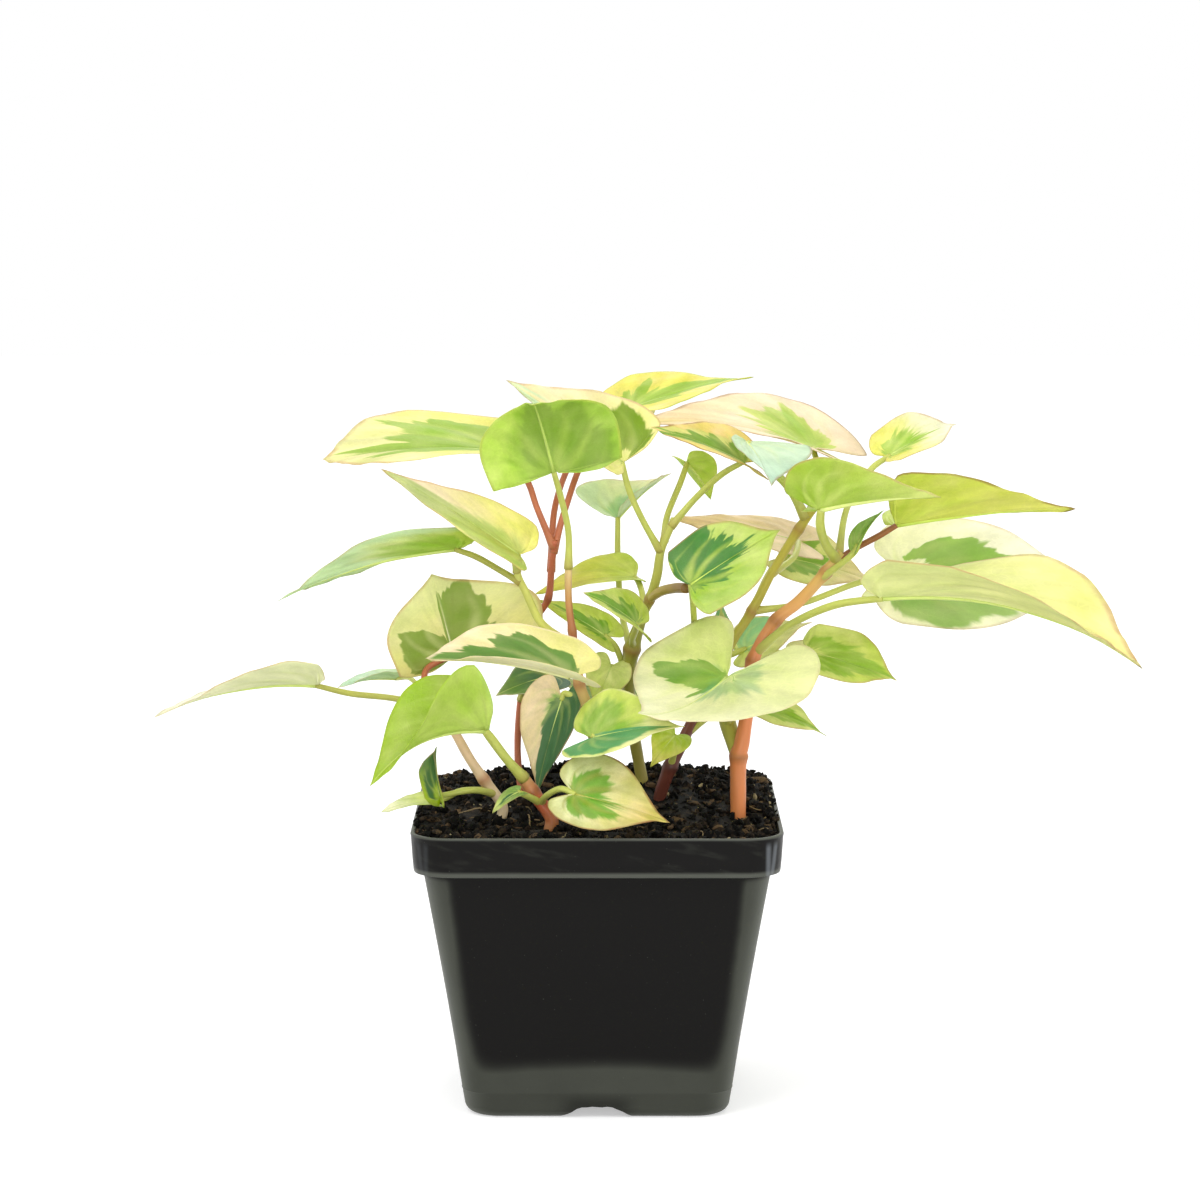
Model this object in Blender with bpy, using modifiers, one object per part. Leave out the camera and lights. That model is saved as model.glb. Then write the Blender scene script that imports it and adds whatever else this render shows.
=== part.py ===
"""Potted houttuynia: a black square nursery pot, its potting mix, and a young variegated plant.

The plant is an assembly of stems and leaves. Each stem is a tube along a smooth route, each leaf is
a heart-shaped blade with its own petiole, and each petiole starts just clear of the stem that
carries it. Lengths in the tables are millimetres, in a frame with its origin at the middle of the
pot's flat underside, +X to the right, +Y to the back and +Z up.
"""

import math
from dataclasses import dataclass

import bmesh
import bpy
from mathutils import Matrix, Vector

MM = 0.001
GAP = 0.35 * MM  # clearance that touching pieces keep

# Pot
RIM_TOP = 82.5 * MM
RIM_BOTTOM = 71.2 * MM
RIM_WIDTH = 103.6 * MM
BODY_TOP_WIDTH = 96.8 * MM
BODY_BOTTOM_WIDTH = 74.0 * MM
BODY_TOP = 76.0 * MM  # the body runs up inside the rim band
WALL = 1.3 * MM
FLOOR = 1.6 * MM
RIM_CORNER = 11.0 * MM
BODY_CORNER = 9.5 * MM
FOOT_ROUND = 2.6 * MM
CORNER_STEPS = 4
DRAIN_WIDTH = 21.0 * MM
DRAIN_TOP_WIDTH = 8.0 * MM
DRAIN_HEIGHT = 3.4 * MM
DRAIN_DEPTH = 13.0 * MM
SLOT = (7.0 * MM, 4.0 * MM)

# Potting mix
SOIL_EDGE = 81.2 * MM
SOIL_MOUND = 7.0 * MM
SOIL_PEAK = (6.0 * MM, 26.0 * MM)
SOIL_SPREAD = (56.0 * MM, 28.0 * MM)
SOIL_LUMP = 0.7 * MM
SOIL_CELLS = 14
PLANTED_DEPTH = 9.0

# Plant
BLADE_THICKNESS = 0.7 * MM
BLADE_RINGS = 2
STEM_STEPS = 1
PETIOLE_STEPS = 1
RIB_LENGTH = 1.5
WIDEST = 0.49
# Half of a heart-shaped blade from tip to sinus, as shares of its length: (along, across).
HALF_OUTLINE = (
    (1.00, 0.00),
    (0.84, 0.07),
    (0.66, 0.20),
    (0.40, 0.40),
    (0.12, 0.49),
    (-0.14, 0.40),
    (-0.23, 0.20),
    (-0.06, 0.03),
)


@dataclass(frozen=True)
class Stem:
    """A stem: its route as (x, y, z, radius) and whether it grows from the soil or from a parent."""

    name: str
    route: tuple
    parent: str = ""
    colour: tuple = (0.45, 0.40, 0.12)


@dataclass(frozen=True)
class Leaf:
    """A leaf: where its petiole leaves a stem, how it runs, and how its blade lies.

    face is the way that the upper side looks, halves are the widths left and right of the midrib,
    fold is how far both halves rise at the base and at the tip in degrees, curl adds to it at the
    margin, arch bows the midrib, twist turns the tip about it, lobe scales the basal lobes, and
    blunt draws the widest part towards the tip.
    """

    name: str
    stem: str
    height: float
    bends: tuple
    base: tuple
    tip: tuple
    face: tuple
    halves: tuple
    fold: tuple = (15.0, 8.0)
    curl: float = 0.0
    arch: float = 1.0
    twist: float = 0.0
    wave: float = 0.6
    lobe: float = 1.0
    blunt: float = 0.0
    petiole: float = 0.9
    colour: tuple = (0.60, 0.68, 0.25)


STEMS = (
    Stem(
        "stem_right_main",
        ((40, -14, 82, 2.2), (40, -14, 98, 2.3), (41, -14, 103, 2.2), (43, -12, 115, 1.8),
         (44, -12, 126, 1.8), (50, -12, 137, 1.7), (57, -12, 143, 1.7), (64, -14, 151, 1.7),
         (69, -14, 157, 1.6)),
        colour=(0.72, 0.36, 0.18),
    ),
    Stem(
        "stem_right_second",
        ((40, -13, 99, 2.2), (37, -8, 108, 2.3), (36, -5, 114, 1.9), (36, -4, 124, 1.4),
         (39, -3, 131, 1.3), (44, -3, 139, 1.4), (50, -5, 151, 1.2), (57, -8, 163, 1.3),
         (61, -9, 169, 1.2)),
        parent="stem_right_main",
        colour=(0.55, 0.52, 0.14),
    ),
    Stem(
        "stem_centre_left",
        ((1, -18, 87, 1.6), (0, -20, 98, 1.6), (-1, -22, 106, 1.6), (-3, -22, 115, 1.6),
         (-5, -22, 121, 1.5), (-6, -22, 129, 1.4), (-7, -22, 136, 1.1), (-8, -22, 145, 1.0),
         (-8, -22, 156, 1.0)),
        colour=(0.62, 0.52, 0.22),
    ),
    Stem(
        "stem_left_branch",
        ((-6, -22, 129, 1.2), (-10, -20, 133, 1.3), (-16, -18, 138, 1.2), (-20, -16, 146, 1.1),
         (-22, -16, 150, 1.1), (-23, -16, 154, 1.0)),
        parent="stem_centre_left",
        colour=(0.62, 0.66, 0.24),
    ),
    Stem(
        "stem_red_back",
        ((-22, 8, 84, 1.0), (-23, 8, 97, 1.0), (-22, 6, 112, 1.0), (-19, 5, 127, 1.0),
         (-18, 4, 135, 1.0), (-14, 2, 142, 1.0), (-13, 0, 152, 1.0), (-12, -2, 159, 1.0)),
        colour=(0.55, 0.20, 0.10),
    ),
    Stem(
        "stem_centre",
        ((14, 12, 82, 1.7), (12, 12, 93, 1.7), (10, 10, 105, 1.7), (9, 8, 117, 1.9),
         (10, 5, 127, 2.2), (13, 2, 137, 1.5), (15, 0, 142, 1.4), (17, -2, 149, 1.4),
         (18, -3, 156, 1.2), (20, -2, 161, 1.1), (22, 0, 165, 1.1)),
        colour=(0.52, 0.50, 0.15),
    ),
    Stem(
        "stem_centre_stub",
        ((15, 0, 142, 1.2), (18, -6, 145, 1.4), (22, -14, 147, 1.3), (25, -22, 148, 1.2)),
        parent="stem_centre",
        colour=(0.38, 0.26, 0.08),
    ),
    Stem(
        "stem_dark_low",
        ((18, 0, 85, 1.8), (21, -2, 94, 1.9), (25, 0, 102, 1.7), (29, 4, 112, 1.3),
         (30, 10, 127, 1.1), (35, 14, 133, 1.0)),
        colour=(0.30, 0.10, 0.07),
    ),
    Stem(
        "stem_left_low",
        ((-27, -18, 86, 1.5), (-32, -18, 93, 1.5), (-36, -18, 99, 1.4), (-40, -17, 106, 1.3),
         (-44, -14, 112, 1.2), (-47, -12, 115, 1.1)),
        colour=(0.78, 0.66, 0.48),
    ),
    Stem(
        "stem_front_short",
        ((-13, -32, 85, 1.9), (-18, -32, 92, 1.8), (-21, -33, 97, 1.7)),
        colour=(0.66, 0.30, 0.16),
    ),
)

LEAVES = (
    # Crown
    Leaf("leaf_crown_far_left", "stem_red_back", 157, ((-17, -1, 168), (-20, 1, 176)),
         (-26, 2, 184), (-77, -14, 183), (0, -3.5, 10), (11, 16), fold=(18, 8), arch=2.4, twist=15,
         lobe=1.6, blunt=0.65),
    Leaf("leaf_crown_front", "stem_centre_left", 154, ((-8, -24, 164), (-10, -28, 174)),
         (-12, -34, 182), (-17, -66, 203), (-2, 6, 8), (20.5, 18.5), fold=(-3, -3), arch=7,
         lobe=0.15, blunt=0.3),
    Leaf("leaf_crown_top", "stem_red_back", 155, ((-9, 2, 168), (-3, 14, 182)),
         (10, 34, 194), (46, 44, 202), (0, -3, 10), (13, 13), fold=(15, 10)),
    Leaf("leaf_crown_back", "stem_centre", 156, ((13, -5, 165), (9, -7, 174)),
         (7, -8, 182), (-26, 8, 204), (1, -8, 7), (6, 18), fold=(10, 8), lobe=0.25),
    Leaf("leaf_crown_right", "stem_right_second", 167, ((62, -4, 174), (63, 5, 179)),
         (62, 14, 184), (8, 8, 191), (0, -3, 10), (14, 22), fold=(15, 8), arch=4, lobe=1.4),
    Leaf("leaf_crown_striped", "stem_centre", 163, ((28, 0, 171), (35, -4, 178)),
         (41, -8, 182), (15, -20, 193), (2, -5, 9), (11, 11), fold=(22, 12)),
    Leaf("leaf_right_upper", "stem_right_main", 155, ((64, -20, 160), (62, -27, 166)),
         (62, -30, 171), (94, -44, 176), (0, 5, 10), (16, 18), fold=(35, 20), petiole=1.3),
    Leaf("leaf_crown_mint", "stem_right_second", 166, ((54, -9, 175), (47, -10, 182)),
         (42, -12, 188), (48, -36, 178), (3, -3, 10), (18, 5), fold=(6, 5), petiole=1.2, lobe=0.5),
    Leaf("leaf_right_top", "stem_right_main", 156, ((71, 0, 168), (78, 8, 178)),
         (84, 12, 182), (104, 24, 190), (-1, -5, 8), (9, 6), fold=(20, 10), twist=-20, lobe=0.6,
         blunt=0.5),
    # Right side
    Leaf("leaf_right_yellow", "stem_right_main", 154, ((72, -15, 158), (79, -16, 162)),
         (84, -16, 165), (135, -10, 169), (0, 5, 10), (16, 18), fold=(35, 15), lobe=0.2),
    Leaf("leaf_right_back", "stem_right_second", 139, ((58, -2, 141), (74, 4, 146)),
         (88, 8, 149), (142, 16, 145), (0, -9, 3), (16, 17), fold=(10, 5), lobe=0.7, blunt=0.35),
    Leaf("leaf_right_large", "stem_right_main", 128, ((54, -18, 137), (66, -28, 144)),
         (79, -36, 147), (149, -52, 130), (0, 5, 10), (21, 14), fold=(34, 36), arch=7,
         twist=-60, petiole=1.1, lobe=0.4, blunt=0.6),
    Leaf("leaf_unfolding", "stem_right_main", 149, ((69, -19, 155), (72, -20, 158)),
         (73, -20, 160), (80, -22, 170), (-6, -6, 5), (3.5, 3.5), fold=(35, 35), wave=0),
    Leaf("leaf_right_low", "stem_right_main", 124, ((50, -2, 126), (55, 6, 126)),
         (61, 12, 125), (86, 4, 118), (0, -7, 7), (10, 8), fold=(12, 8), lobe=0.5, blunt=0.5),
    Leaf("leaf_right_lowest", "stem_dark_low", 103, ((33, 4, 108), (40, 7, 111)),
         (45, 8, 111), (66, 2, 102), (0, -5, 8), (5, 7), fold=(15, 12), lobe=0.6, blunt=0.3),
    Leaf("leaf_right_inner", "stem_right_second", 141, ((48, 8, 146), (52, 20, 150)),
         (56, 30, 150), (83, 32, 142), (0, -6, 8), (12, 12)),
    # Left side
    Leaf("leaf_left_upper", "stem_left_branch", 152, ((-23, -17, 155),),
         (-22, -18, 157), (-60, -28, 182), (-3, -6, 7), (9, 10), fold=(30, 10), lobe=0.3),
    Leaf("leaf_left_middle", "stem_left_branch", 149, ((-27, -15, 152), (-34, -15, 156)),
         (-40, -14, 158), (-89, -26, 145), (0, 4, 10), (9, 9), fold=(30, 15), arch=2.5, twist=-30,
         lobe=0.5, blunt=0.35),
    Leaf("leaf_left_low", "stem_left_low", 113, ((-58, -10, 115), (-70, -8, 116)),
         (-80, -6, 118), (-125, -18, 111), (0, 3, 10), (10, 9), fold=(30, 15), arch=3, lobe=0.2),
    Leaf("leaf_left_broad", "stem_left_low", 114, ((-49, -8, 119), (-48, -4, 123)),
         (-41, -1, 126), (-47, -6, 150), (0, -9, 5), (18, 28), fold=(10, 5), lobe=0.5, blunt=0.5),
    Leaf("leaf_left_mint", "stem_left_low", 112, ((-50, -2, 116), (-54, 8, 118)),
         (-58, 14, 117), (-75, 10, 115), (0, 0, 1), (5, 6), fold=(25, 20), lobe=0.6, petiole=0.7),
    Leaf("leaf_boat", "stem_centre_left", 127, ((-6, -28, 127), (-7, -33, 126)),
         (-8, -36, 125), (-47, -50, 132), (0, -5, 9), (4, 12), fold=(40, 35), curl=15, arch=1.8,
         blunt=0.55),
    Leaf("leaf_left_front", "stem_front_short", 96, ((-25, -37, 102), (-29, -40, 108)),
         (-31, -42, 111), (-62, -56, 98), (-3, -2, 8), (25, 18), fold=(68, 12), arch=5, petiole=1.3,
         lobe=0.4, blunt=0.25),
    # Middle
    Leaf("leaf_centre_back", "stem_centre", 137, ((13, 8, 142), (12, 14, 145)),
         (11, 18, 146), (-18, 10, 142), (0, -4, 9), (8, 10), fold=(20, 10), arch=2, lobe=0.3),
    Leaf("leaf_centre", "stem_centre", 128, ((10, -4, 131), (11, -11, 135)),
         (11, -16, 137), (-4, -24, 147), (0, -5, 8), (10, 10), fold=(20, 10)),
    Leaf("leaf_centre_right", "stem_dark_low", 120, ((28, -2, 130), (27, -17, 142)),
         (26, -30, 150), (51, -26, 165), (-3, -9, 4), (12, 12), fold=(8, 5), lobe=0.35,
         blunt=0.45),
    Leaf("leaf_heart_large", "stem_right_second", 107, ((37, -16, 112), (37, -24, 119)),
         (36, -30, 124), (11, -62, 119), (0.8, -2, 9.7), (31, 25), fold=(11, 5), arch=-4, lobe=1.55),
    Leaf("leaf_peach_back", "stem_right_second", 150, ((56, 6, 153), (58, 16, 156)),
         (58, 24, 156), (21, 28, 162), (0, -4, 9), (12, 9), fold=(8, 5)),
    Leaf("leaf_mint_back", "stem_centre", 126, ((7, 20, 136), (6, 28, 150)),
         (6, 31, 162), (22, 50, 173), (-5, -3, 8), (16, 10), fold=(38, 20), lobe=0.2),
    Leaf("leaf_drooping", "stem_centre", 159, ((20, 7, 165), (24, 15, 174)),
         (26, 21, 179), (33, 24, 168), (6, 6, 6), (9, 9), fold=(20, 10)),
    Leaf("leaf_inner_left", "stem_centre", 115, ((7, 7, 123), (5, 5, 128)),
         (2, 4, 131), (-17, 6, 141), (0, -6, 8), (6, 7)),
    Leaf("leaf_inner_low", "stem_centre", 112, ((7, 9, 117), (5, 7, 121)),
         (4, 4, 122), (-1, 0, 110), (0, -8, 4), (7, 7)),
    Leaf("leaf_inner_yellow", "stem_dark_low", 94, ((22, -6, 99), (22, -8, 103)),
         (22, -9, 104), (15, -15, 96), (0, -8, 5), (6, 6)),
    Leaf("leaf_inner_cream", "stem_dark_low", 116, ((34, 10, 122), (40, 11, 125)),
         (43, 12, 126), (62, 10, 134), (0, -7, 7), (8, 8)),
    Leaf("leaf_inner_narrow", "stem_dark_low", 122, ((32, 17, 124), (35, 21, 126)),
         (36, 22, 127), (36, 18, 140), (0, -9, 2), (4, 4)),
    # Low, near the soil
    Leaf("leaf_hanging", "stem_centre_left", 110, ((-5, -17, 115), (-9, -14, 117)),
         (-10, -14, 115), (-17, -21, 89.5), (-4, -8, 2), (9, 11), fold=(20, 15)),
    Leaf("leaf_hanging_back", "stem_red_back", 112, ((-20, 2, 118), (-16, 0, 121)),
         (-13, -1, 120), (-29, -6, 115), (0, -6, 8), (9, 9)),
    Leaf("leaf_front_low", "stem_centre_left", 103, ((-1, -30, 107), (-1, -37, 110)),
         (-1, -42, 109), (24, -54, 114), (0, -6.2, 7.8), (14, 11.5), fold=(18, 8), lobe=1.2),
    Leaf("leaf_front_soil", "stem_front_short", 89, ((-14, -38, 92), (-10, -44, 95)),
         (-6, -47, 94), (20, -52, 87), (0, -8, 6), (13, 10), fold=(8, 5), blunt=0.15),
    Leaf("leaf_soil_blade", "stem_front_short", 89, ((-20, -37, 92),),
         (-22, -39, 93), (-29, -43, 88), (-3, -6, 6), (3, 3)),
    Leaf("leaf_rim_pale", "stem_left_low", 90, ((-38, -19, 90), (-43, -20, 88)),
         (-47, -20, 87), (-61, -20, 84), (0, -3, 9), (5, 5)),
    Leaf("leaf_rim_curled", "stem_left_low", 89, ((-35, -24, 91),),
         (-44, -27, 90), (-45, -27, 104), (-3, -4, -2), (4.5, 4.5), fold=(40, 60), blunt=0.6),
    # Behind
    Leaf("leaf_behind_top", "stem_red_back", 150, ((-12, 10, 168), (-6, 26, 182)),
         (2, 42, 189), (-14, 72, 188), (0, 1, 10), (18, 18)),
    Leaf("leaf_behind_left", "stem_red_back", 120, ((-26, 16, 130), (-30, 26, 133)),
         (-33, 34, 132), (-57, 62, 122), (0, 3, 10), (17, 17)),
    Leaf("leaf_behind_right", "stem_right_second", 118, ((44, 8, 119), (50, 24, 122)),
         (56, 36, 121), (78, 62, 112), (0, 3, 10), (16, 16)),
    Leaf("leaf_behind_low", "stem_centre", 98, ((10, 24, 104), (8, 34, 108)),
         (6, 42, 108), (2, 78, 96), (0, 3, 10), (16, 16)),
)


def clear_scene():
    for thing in list(bpy.data.objects):
        bpy.data.objects.remove(thing, do_unlink=True)


def new_collection(name):
    collection = bpy.data.collections.new(name)
    bpy.context.scene.collection.children.link(collection)
    return collection


def material(name, colour, roughness, metallic=0.0):
    made = bpy.data.materials.new(name)
    made.use_nodes = True
    shader = made.node_tree.nodes["Principled BSDF"]
    shader.inputs["Base Color"].default_value = (*colour, 1.0)
    shader.inputs["Roughness"].default_value = roughness
    shader.inputs["Metallic"].default_value = metallic
    return made


def object_from(name, mesh, collection):
    """An object holding a copy of the bmesh, which is freed."""
    data = bpy.data.meshes.new(name)
    mesh.to_mesh(data)
    mesh.free()
    made = bpy.data.objects.new(name, data)
    collection.objects.link(made)
    return made


def as_cutter(thing):
    thing.hide_render = True
    thing.display_type = "WIRE"
    return thing


def boolean(target, other, operation, solver="EXACT"):
    modifier = target.modifiers.new(f"{operation.lower()}_{other.name}", "BOOLEAN")
    modifier.operation = operation
    modifier.object = other
    modifier.solver = solver


def tapered_box(name, collection, low, high, widths, corner, foot=0.0):
    """A square box between two heights whose width tapers, with round uprights and a round foot."""
    mesh = bmesh.new()
    bmesh.ops.create_cube(mesh, size=1.0)
    for vertex in mesh.verts:
        upper = vertex.co.z > 0
        width = widths[1] if upper else widths[0]
        vertex.co = Vector((vertex.co.x * width, vertex.co.y * width, high if upper else low))
    uprights = [e for e in mesh.edges if abs(e.verts[0].co.z - e.verts[1].co.z) > 0.5 * (high - low)]
    bmesh.ops.bevel(mesh, geom=uprights, offset=corner, segments=CORNER_STEPS, profile=0.5, affect="EDGES")
    if foot:
        around = [e for e in mesh.edges if max(v.co.z for v in e.verts) < low + 1e-6]
        bmesh.ops.bevel(mesh, geom=around, offset=foot, segments=2, profile=0.5, affect="EDGES")
    return object_from(name, mesh, collection)


def arch_block(name, collection, turn, grow):
    """The space of one drain channel under a side of the pot, made larger all round by grow."""
    mesh = bmesh.new()
    bmesh.ops.create_cube(mesh, size=1.0)
    outside = -0.5 * BODY_BOTTOM_WIDTH - 6.0 * MM
    inside = -0.5 * BODY_BOTTOM_WIDTH + DRAIN_DEPTH + grow
    for vertex in mesh.verts:
        upper = vertex.co.z > 0
        width = (DRAIN_TOP_WIDTH if upper else DRAIN_WIDTH) + 2.0 * grow
        height = DRAIN_HEIGHT + grow if upper else -2.0 * MM
        depth = inside if vertex.co.y > 0 else outside
        vertex.co = Vector((vertex.co.x * width, depth, height))
    mesh.transform(Matrix.Rotation(math.radians(90.0 * turn), 4, "Z"))
    return as_cutter(object_from(name, mesh, collection))


def drain_slot(name, collection, turn):
    mesh = bmesh.new()
    bmesh.ops.create_cube(mesh, size=1.0)
    middle = -0.5 * BODY_BOTTOM_WIDTH + 0.68 * DRAIN_DEPTH
    for vertex in mesh.verts:
        x = vertex.co.x * SLOT[0]
        y = vertex.co.y * SLOT[1] + middle
        z = DRAIN_HEIGHT + (2.0 * WALL if vertex.co.z > 0 else -1.0 * MM)
        vertex.co = Vector((x, y, z))
    mesh.transform(Matrix.Rotation(math.radians(90.0 * turn), 4, "Z"))
    return as_cutter(object_from(name, mesh, collection))


def pot_space(name, collection, inset):
    """The hollow of the pot, drawn in by inset on every side."""
    narrow = 2.0 * (WALL + inset)
    rim = as_cutter(tapered_box(
        name + "_rim", collection, RIM_BOTTOM + WALL + inset, RIM_TOP + 30.0 * MM,
        (RIM_WIDTH - narrow, RIM_WIDTH - narrow), RIM_CORNER - WALL - inset,
    ))
    body = as_cutter(tapered_box(
        name, collection, FLOOR + inset, BODY_TOP,
        (BODY_BOTTOM_WIDTH - narrow, BODY_TOP_WIDTH - narrow), BODY_CORNER - WALL - inset,
    ))
    boolean(body, rim, "UNION")
    for turn in range(4):
        boolean(body, arch_block(f"{name}_arch_{turn}", collection, turn, WALL + inset), "DIFFERENCE")
    return body


def build_pot(parts, cutters):
    pot = tapered_box(
        "pot", parts, 0.0, BODY_TOP, (BODY_BOTTOM_WIDTH, BODY_TOP_WIDTH + 0.6 * MM), BODY_CORNER, FOOT_ROUND
    )
    band = as_cutter(tapered_box(
        "rim_band", cutters, RIM_BOTTOM, RIM_TOP, (RIM_WIDTH - 0.6 * MM, RIM_WIDTH), RIM_CORNER
    ))
    boolean(pot, band, "UNION")
    boolean(pot, pot_space("pot_hollow", cutters, 0.0), "DIFFERENCE")
    for turn in range(4):
        boolean(pot, arch_block(f"drain_{turn}", cutters, turn, 0.0), "DIFFERENCE")
        boolean(pot, drain_slot(f"slot_{turn}", cutters, turn), "DIFFERENCE")
    pot.data.materials.append(material("black_moulded_plastic", (0.018, 0.018, 0.016), 0.32))
    return pot


def soil_height(x, y):
    """Height of the potting mix: level with the rim in front, mounded towards the back."""
    away = ((x - SOIL_PEAK[0]) / SOIL_SPREAD[0]) ** 2 + ((y - SOIL_PEAK[1]) / SOIL_SPREAD[1]) ** 2
    lumps = math.sin(0.31 * x / MM + 0.8) * math.cos(0.27 * y / MM) + 0.5 * math.sin(0.55 * (x + y) / MM)
    return SOIL_EDGE + SOIL_MOUND * math.exp(-away) + SOIL_LUMP * lumps


def build_soil(parts, cutters, planted):
    """The mix fills the pot's hollow, and each stem in planted stands in a hole of its own."""
    mesh = bmesh.new()
    half = 0.5 * RIM_WIDTH
    bmesh.ops.create_grid(mesh, x_segments=SOIL_CELLS, y_segments=SOIL_CELLS, size=half)
    for vertex in mesh.verts:
        vertex.co.z = soil_height(vertex.co.x, vertex.co.y)
    skirt = bmesh.ops.extrude_face_region(mesh, geom=list(mesh.faces))["geom"]
    for vertex in skirt:
        if isinstance(vertex, bmesh.types.BMVert):
            vertex.co.z = -5.0 * MM
    bmesh.ops.recalc_face_normals(mesh, faces=list(mesh.faces))
    soil = object_from("soil", mesh, parts)
    boolean(soil, pot_space("soil_space", cutters, GAP), "INTERSECT")
    for hole in planted:
        boolean(soil, hole, "DIFFERENCE")
    soil.data.materials.append(material("potting_mix", (0.016, 0.011, 0.008), 0.95))
    return soil


def smooth_route(points, steps):
    """Points on a Catmull-Rom curve through the given (x, y, z, radius) points."""
    ends = [tuple(2 * a - b for a, b in zip(points[0], points[1]))]
    last = [tuple(2 * a - b for a, b in zip(points[-1], points[-2]))]
    held = ends + list(points) + last
    route = []
    for i in range(1, len(held) - 2):
        for step in range(steps):
            t = step / steps
            weights = (
                0.5 * (-t**3 + 2 * t**2 - t),
                0.5 * (3 * t**3 - 5 * t**2 + 2),
                0.5 * (-3 * t**3 + 4 * t**2 + t),
                0.5 * (t**3 - t**2),
            )
            corners = held[i - 1 : i + 3]
            route.append(tuple(sum(w * p[k] for w, p in zip(weights, corners)) for k in range(4)))
    return route + [tuple(points[-1])]


def tube(name, collection, route, resolution, grow=0.0):
    """A mesh tube along (x, y, z, radius) points in millimetres, with flat welded ends."""
    curve = bpy.data.curves.new(name, "CURVE")
    curve.dimensions = "3D"
    curve.bevel_depth = MM
    curve.bevel_resolution = resolution
    curve.use_fill_caps = True
    spline = curve.splines.new("POLY")
    spline.points.add(len(route) - 1)
    for point, (x, y, z, radius) in zip(spline.points, route):
        point.co = (x * MM, y * MM, z * MM, 1.0)
        point.radius = radius + grow
    guide = bpy.data.objects.new(name + "_guide", curve)
    collection.objects.link(guide)
    graph = bpy.context.evaluated_depsgraph_get()
    data = bpy.data.meshes.new_from_object(guide.evaluated_get(graph))
    mesh = bmesh.new()
    mesh.from_mesh(data)
    bmesh.ops.remove_doubles(mesh, verts=mesh.verts, dist=1e-6)
    made = object_from(name, mesh, collection)
    made.matrix_world = guide.matrix_world
    bpy.data.objects.remove(guide)
    return made


def stem_route(stem):
    points = list(stem.route)
    if not stem.parent:
        x, y, z, radius = points[0]
        points.insert(0, (x, y, z - PLANTED_DEPTH, radius))
    return smooth_route(points, STEM_STEPS)


def point_at_height(route, height):
    """The place on a rising route at a height, as (x, y, z)."""
    for low, high in zip(route, route[1:]):
        if low[2] <= height <= high[2]:
            share = (height - low[2]) / (high[2] - low[2])
            return tuple(a + share * (b - a) for a, b in zip(low[:3], high[:3]))
    return route[-1][:3]


def build_stems(parts, cutters):
    """Each stem, and the slightly larger space that its neighbours are cut back to."""
    made = {}
    spaces = {}
    for stem in STEMS:
        route = stem_route(stem)
        spaces[stem.name] = as_cutter(tube(stem.name + "_space", cutters, route, 1, GAP / MM))
        made[stem.name] = tube(stem.name, parts, route, 1)
        if stem.parent:
            boolean(made[stem.name], spaces[stem.parent], "DIFFERENCE")
        made[stem.name].data.materials.append(material(stem.name + "_skin", stem.colour, 0.5))
    return made, spaces


def outline_point(share):
    """The half outline at 0 for the tip to 1 for the sinus."""
    place = share * (len(HALF_OUTLINE) - 1)
    index = min(int(place), len(HALF_OUTLINE) - 2)
    part = place - index
    low, high = HALF_OUTLINE[index], HALF_OUTLINE[index + 1]
    return tuple(a + part * (b - a) for a, b in zip(low, high))


def blade_frame(leaf):
    """The blade's length and its axes: along the midrib, to its right and up from its face."""
    reach = Vector(leaf.tip) - Vector(leaf.base)
    forward = reach.normalized()
    up = Vector(leaf.face)
    up = (up - up.dot(forward) * forward).normalized()
    return reach.length, forward, forward.cross(up), up


def blade_point(leaf, around, outwards):
    """A point of the blade in millimetres: around from -1 to 1 with 0 at the tip, outwards 0 to 1."""
    length, forward, right, up = blade_frame(leaf)
    along, across = outline_point(abs(around))
    along = along * leaf.lobe if along < 0 else along ** (1.0 - leaf.blunt)
    along *= outwards
    across *= outwards
    side = -1.0 if around < 0 else 1.0
    half = leaf.halves[0] if around < 0 else leaf.halves[1]
    edge = across / WIDEST
    share = min(max(along, 0.0), 1.0)
    rise = leaf.fold[0] + (leaf.fold[1] - leaf.fold[0]) * share + leaf.curl * edge
    flat = side * half * edge * math.cos(math.radians(rise))
    lift = half * edge * math.sin(math.radians(rise))
    turn = math.radians(leaf.twist) * share
    flat, lift = (
        flat * math.cos(turn) - lift * math.sin(turn),
        flat * math.sin(turn) + lift * math.cos(turn),
    )
    lift += leaf.arch * 4.0 * along * (1.0 - along)
    lift += leaf.wave * math.sin(9.0 * around) * outwards**2
    return Vector(leaf.base) + along * length * forward + flat * right + lift * up


def blade_surface(name, leaf, collection):
    """The open blade: a grid whose one side closes up on the petiole and whose other is the margin."""
    mesh = bmesh.new()
    bmesh.ops.create_grid(
        mesh, x_segments=2 * (len(HALF_OUTLINE) - 1), y_segments=BLADE_RINGS, size=1.0
    )
    for vertex in mesh.verts:
        vertex.co = blade_point(leaf, vertex.co.x, 0.5 + 0.5 * vertex.co.y) * MM
    bmesh.ops.remove_doubles(mesh, verts=mesh.verts, dist=1e-6)
    return object_from(name, mesh, collection)


def petiole_route(leaf, routes):
    """From the middle of the carrying stem, along the bends, and a little way under the midrib."""
    _, forward, _, up = blade_frame(leaf)
    root = point_at_height(routes[leaf.stem], leaf.height)
    thin = 0.6 * leaf.petiole
    points = [(*root, 1.1 * leaf.petiole)]
    points += [(*bend, leaf.petiole) for bend in leaf.bends]
    points.append((*leaf.base, 0.85 * leaf.petiole))
    points.append((*(Vector(leaf.base) + RIB_LENGTH * forward - 0.1 * up), thin))
    return smooth_route(points, PETIOLE_STEPS)


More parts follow.
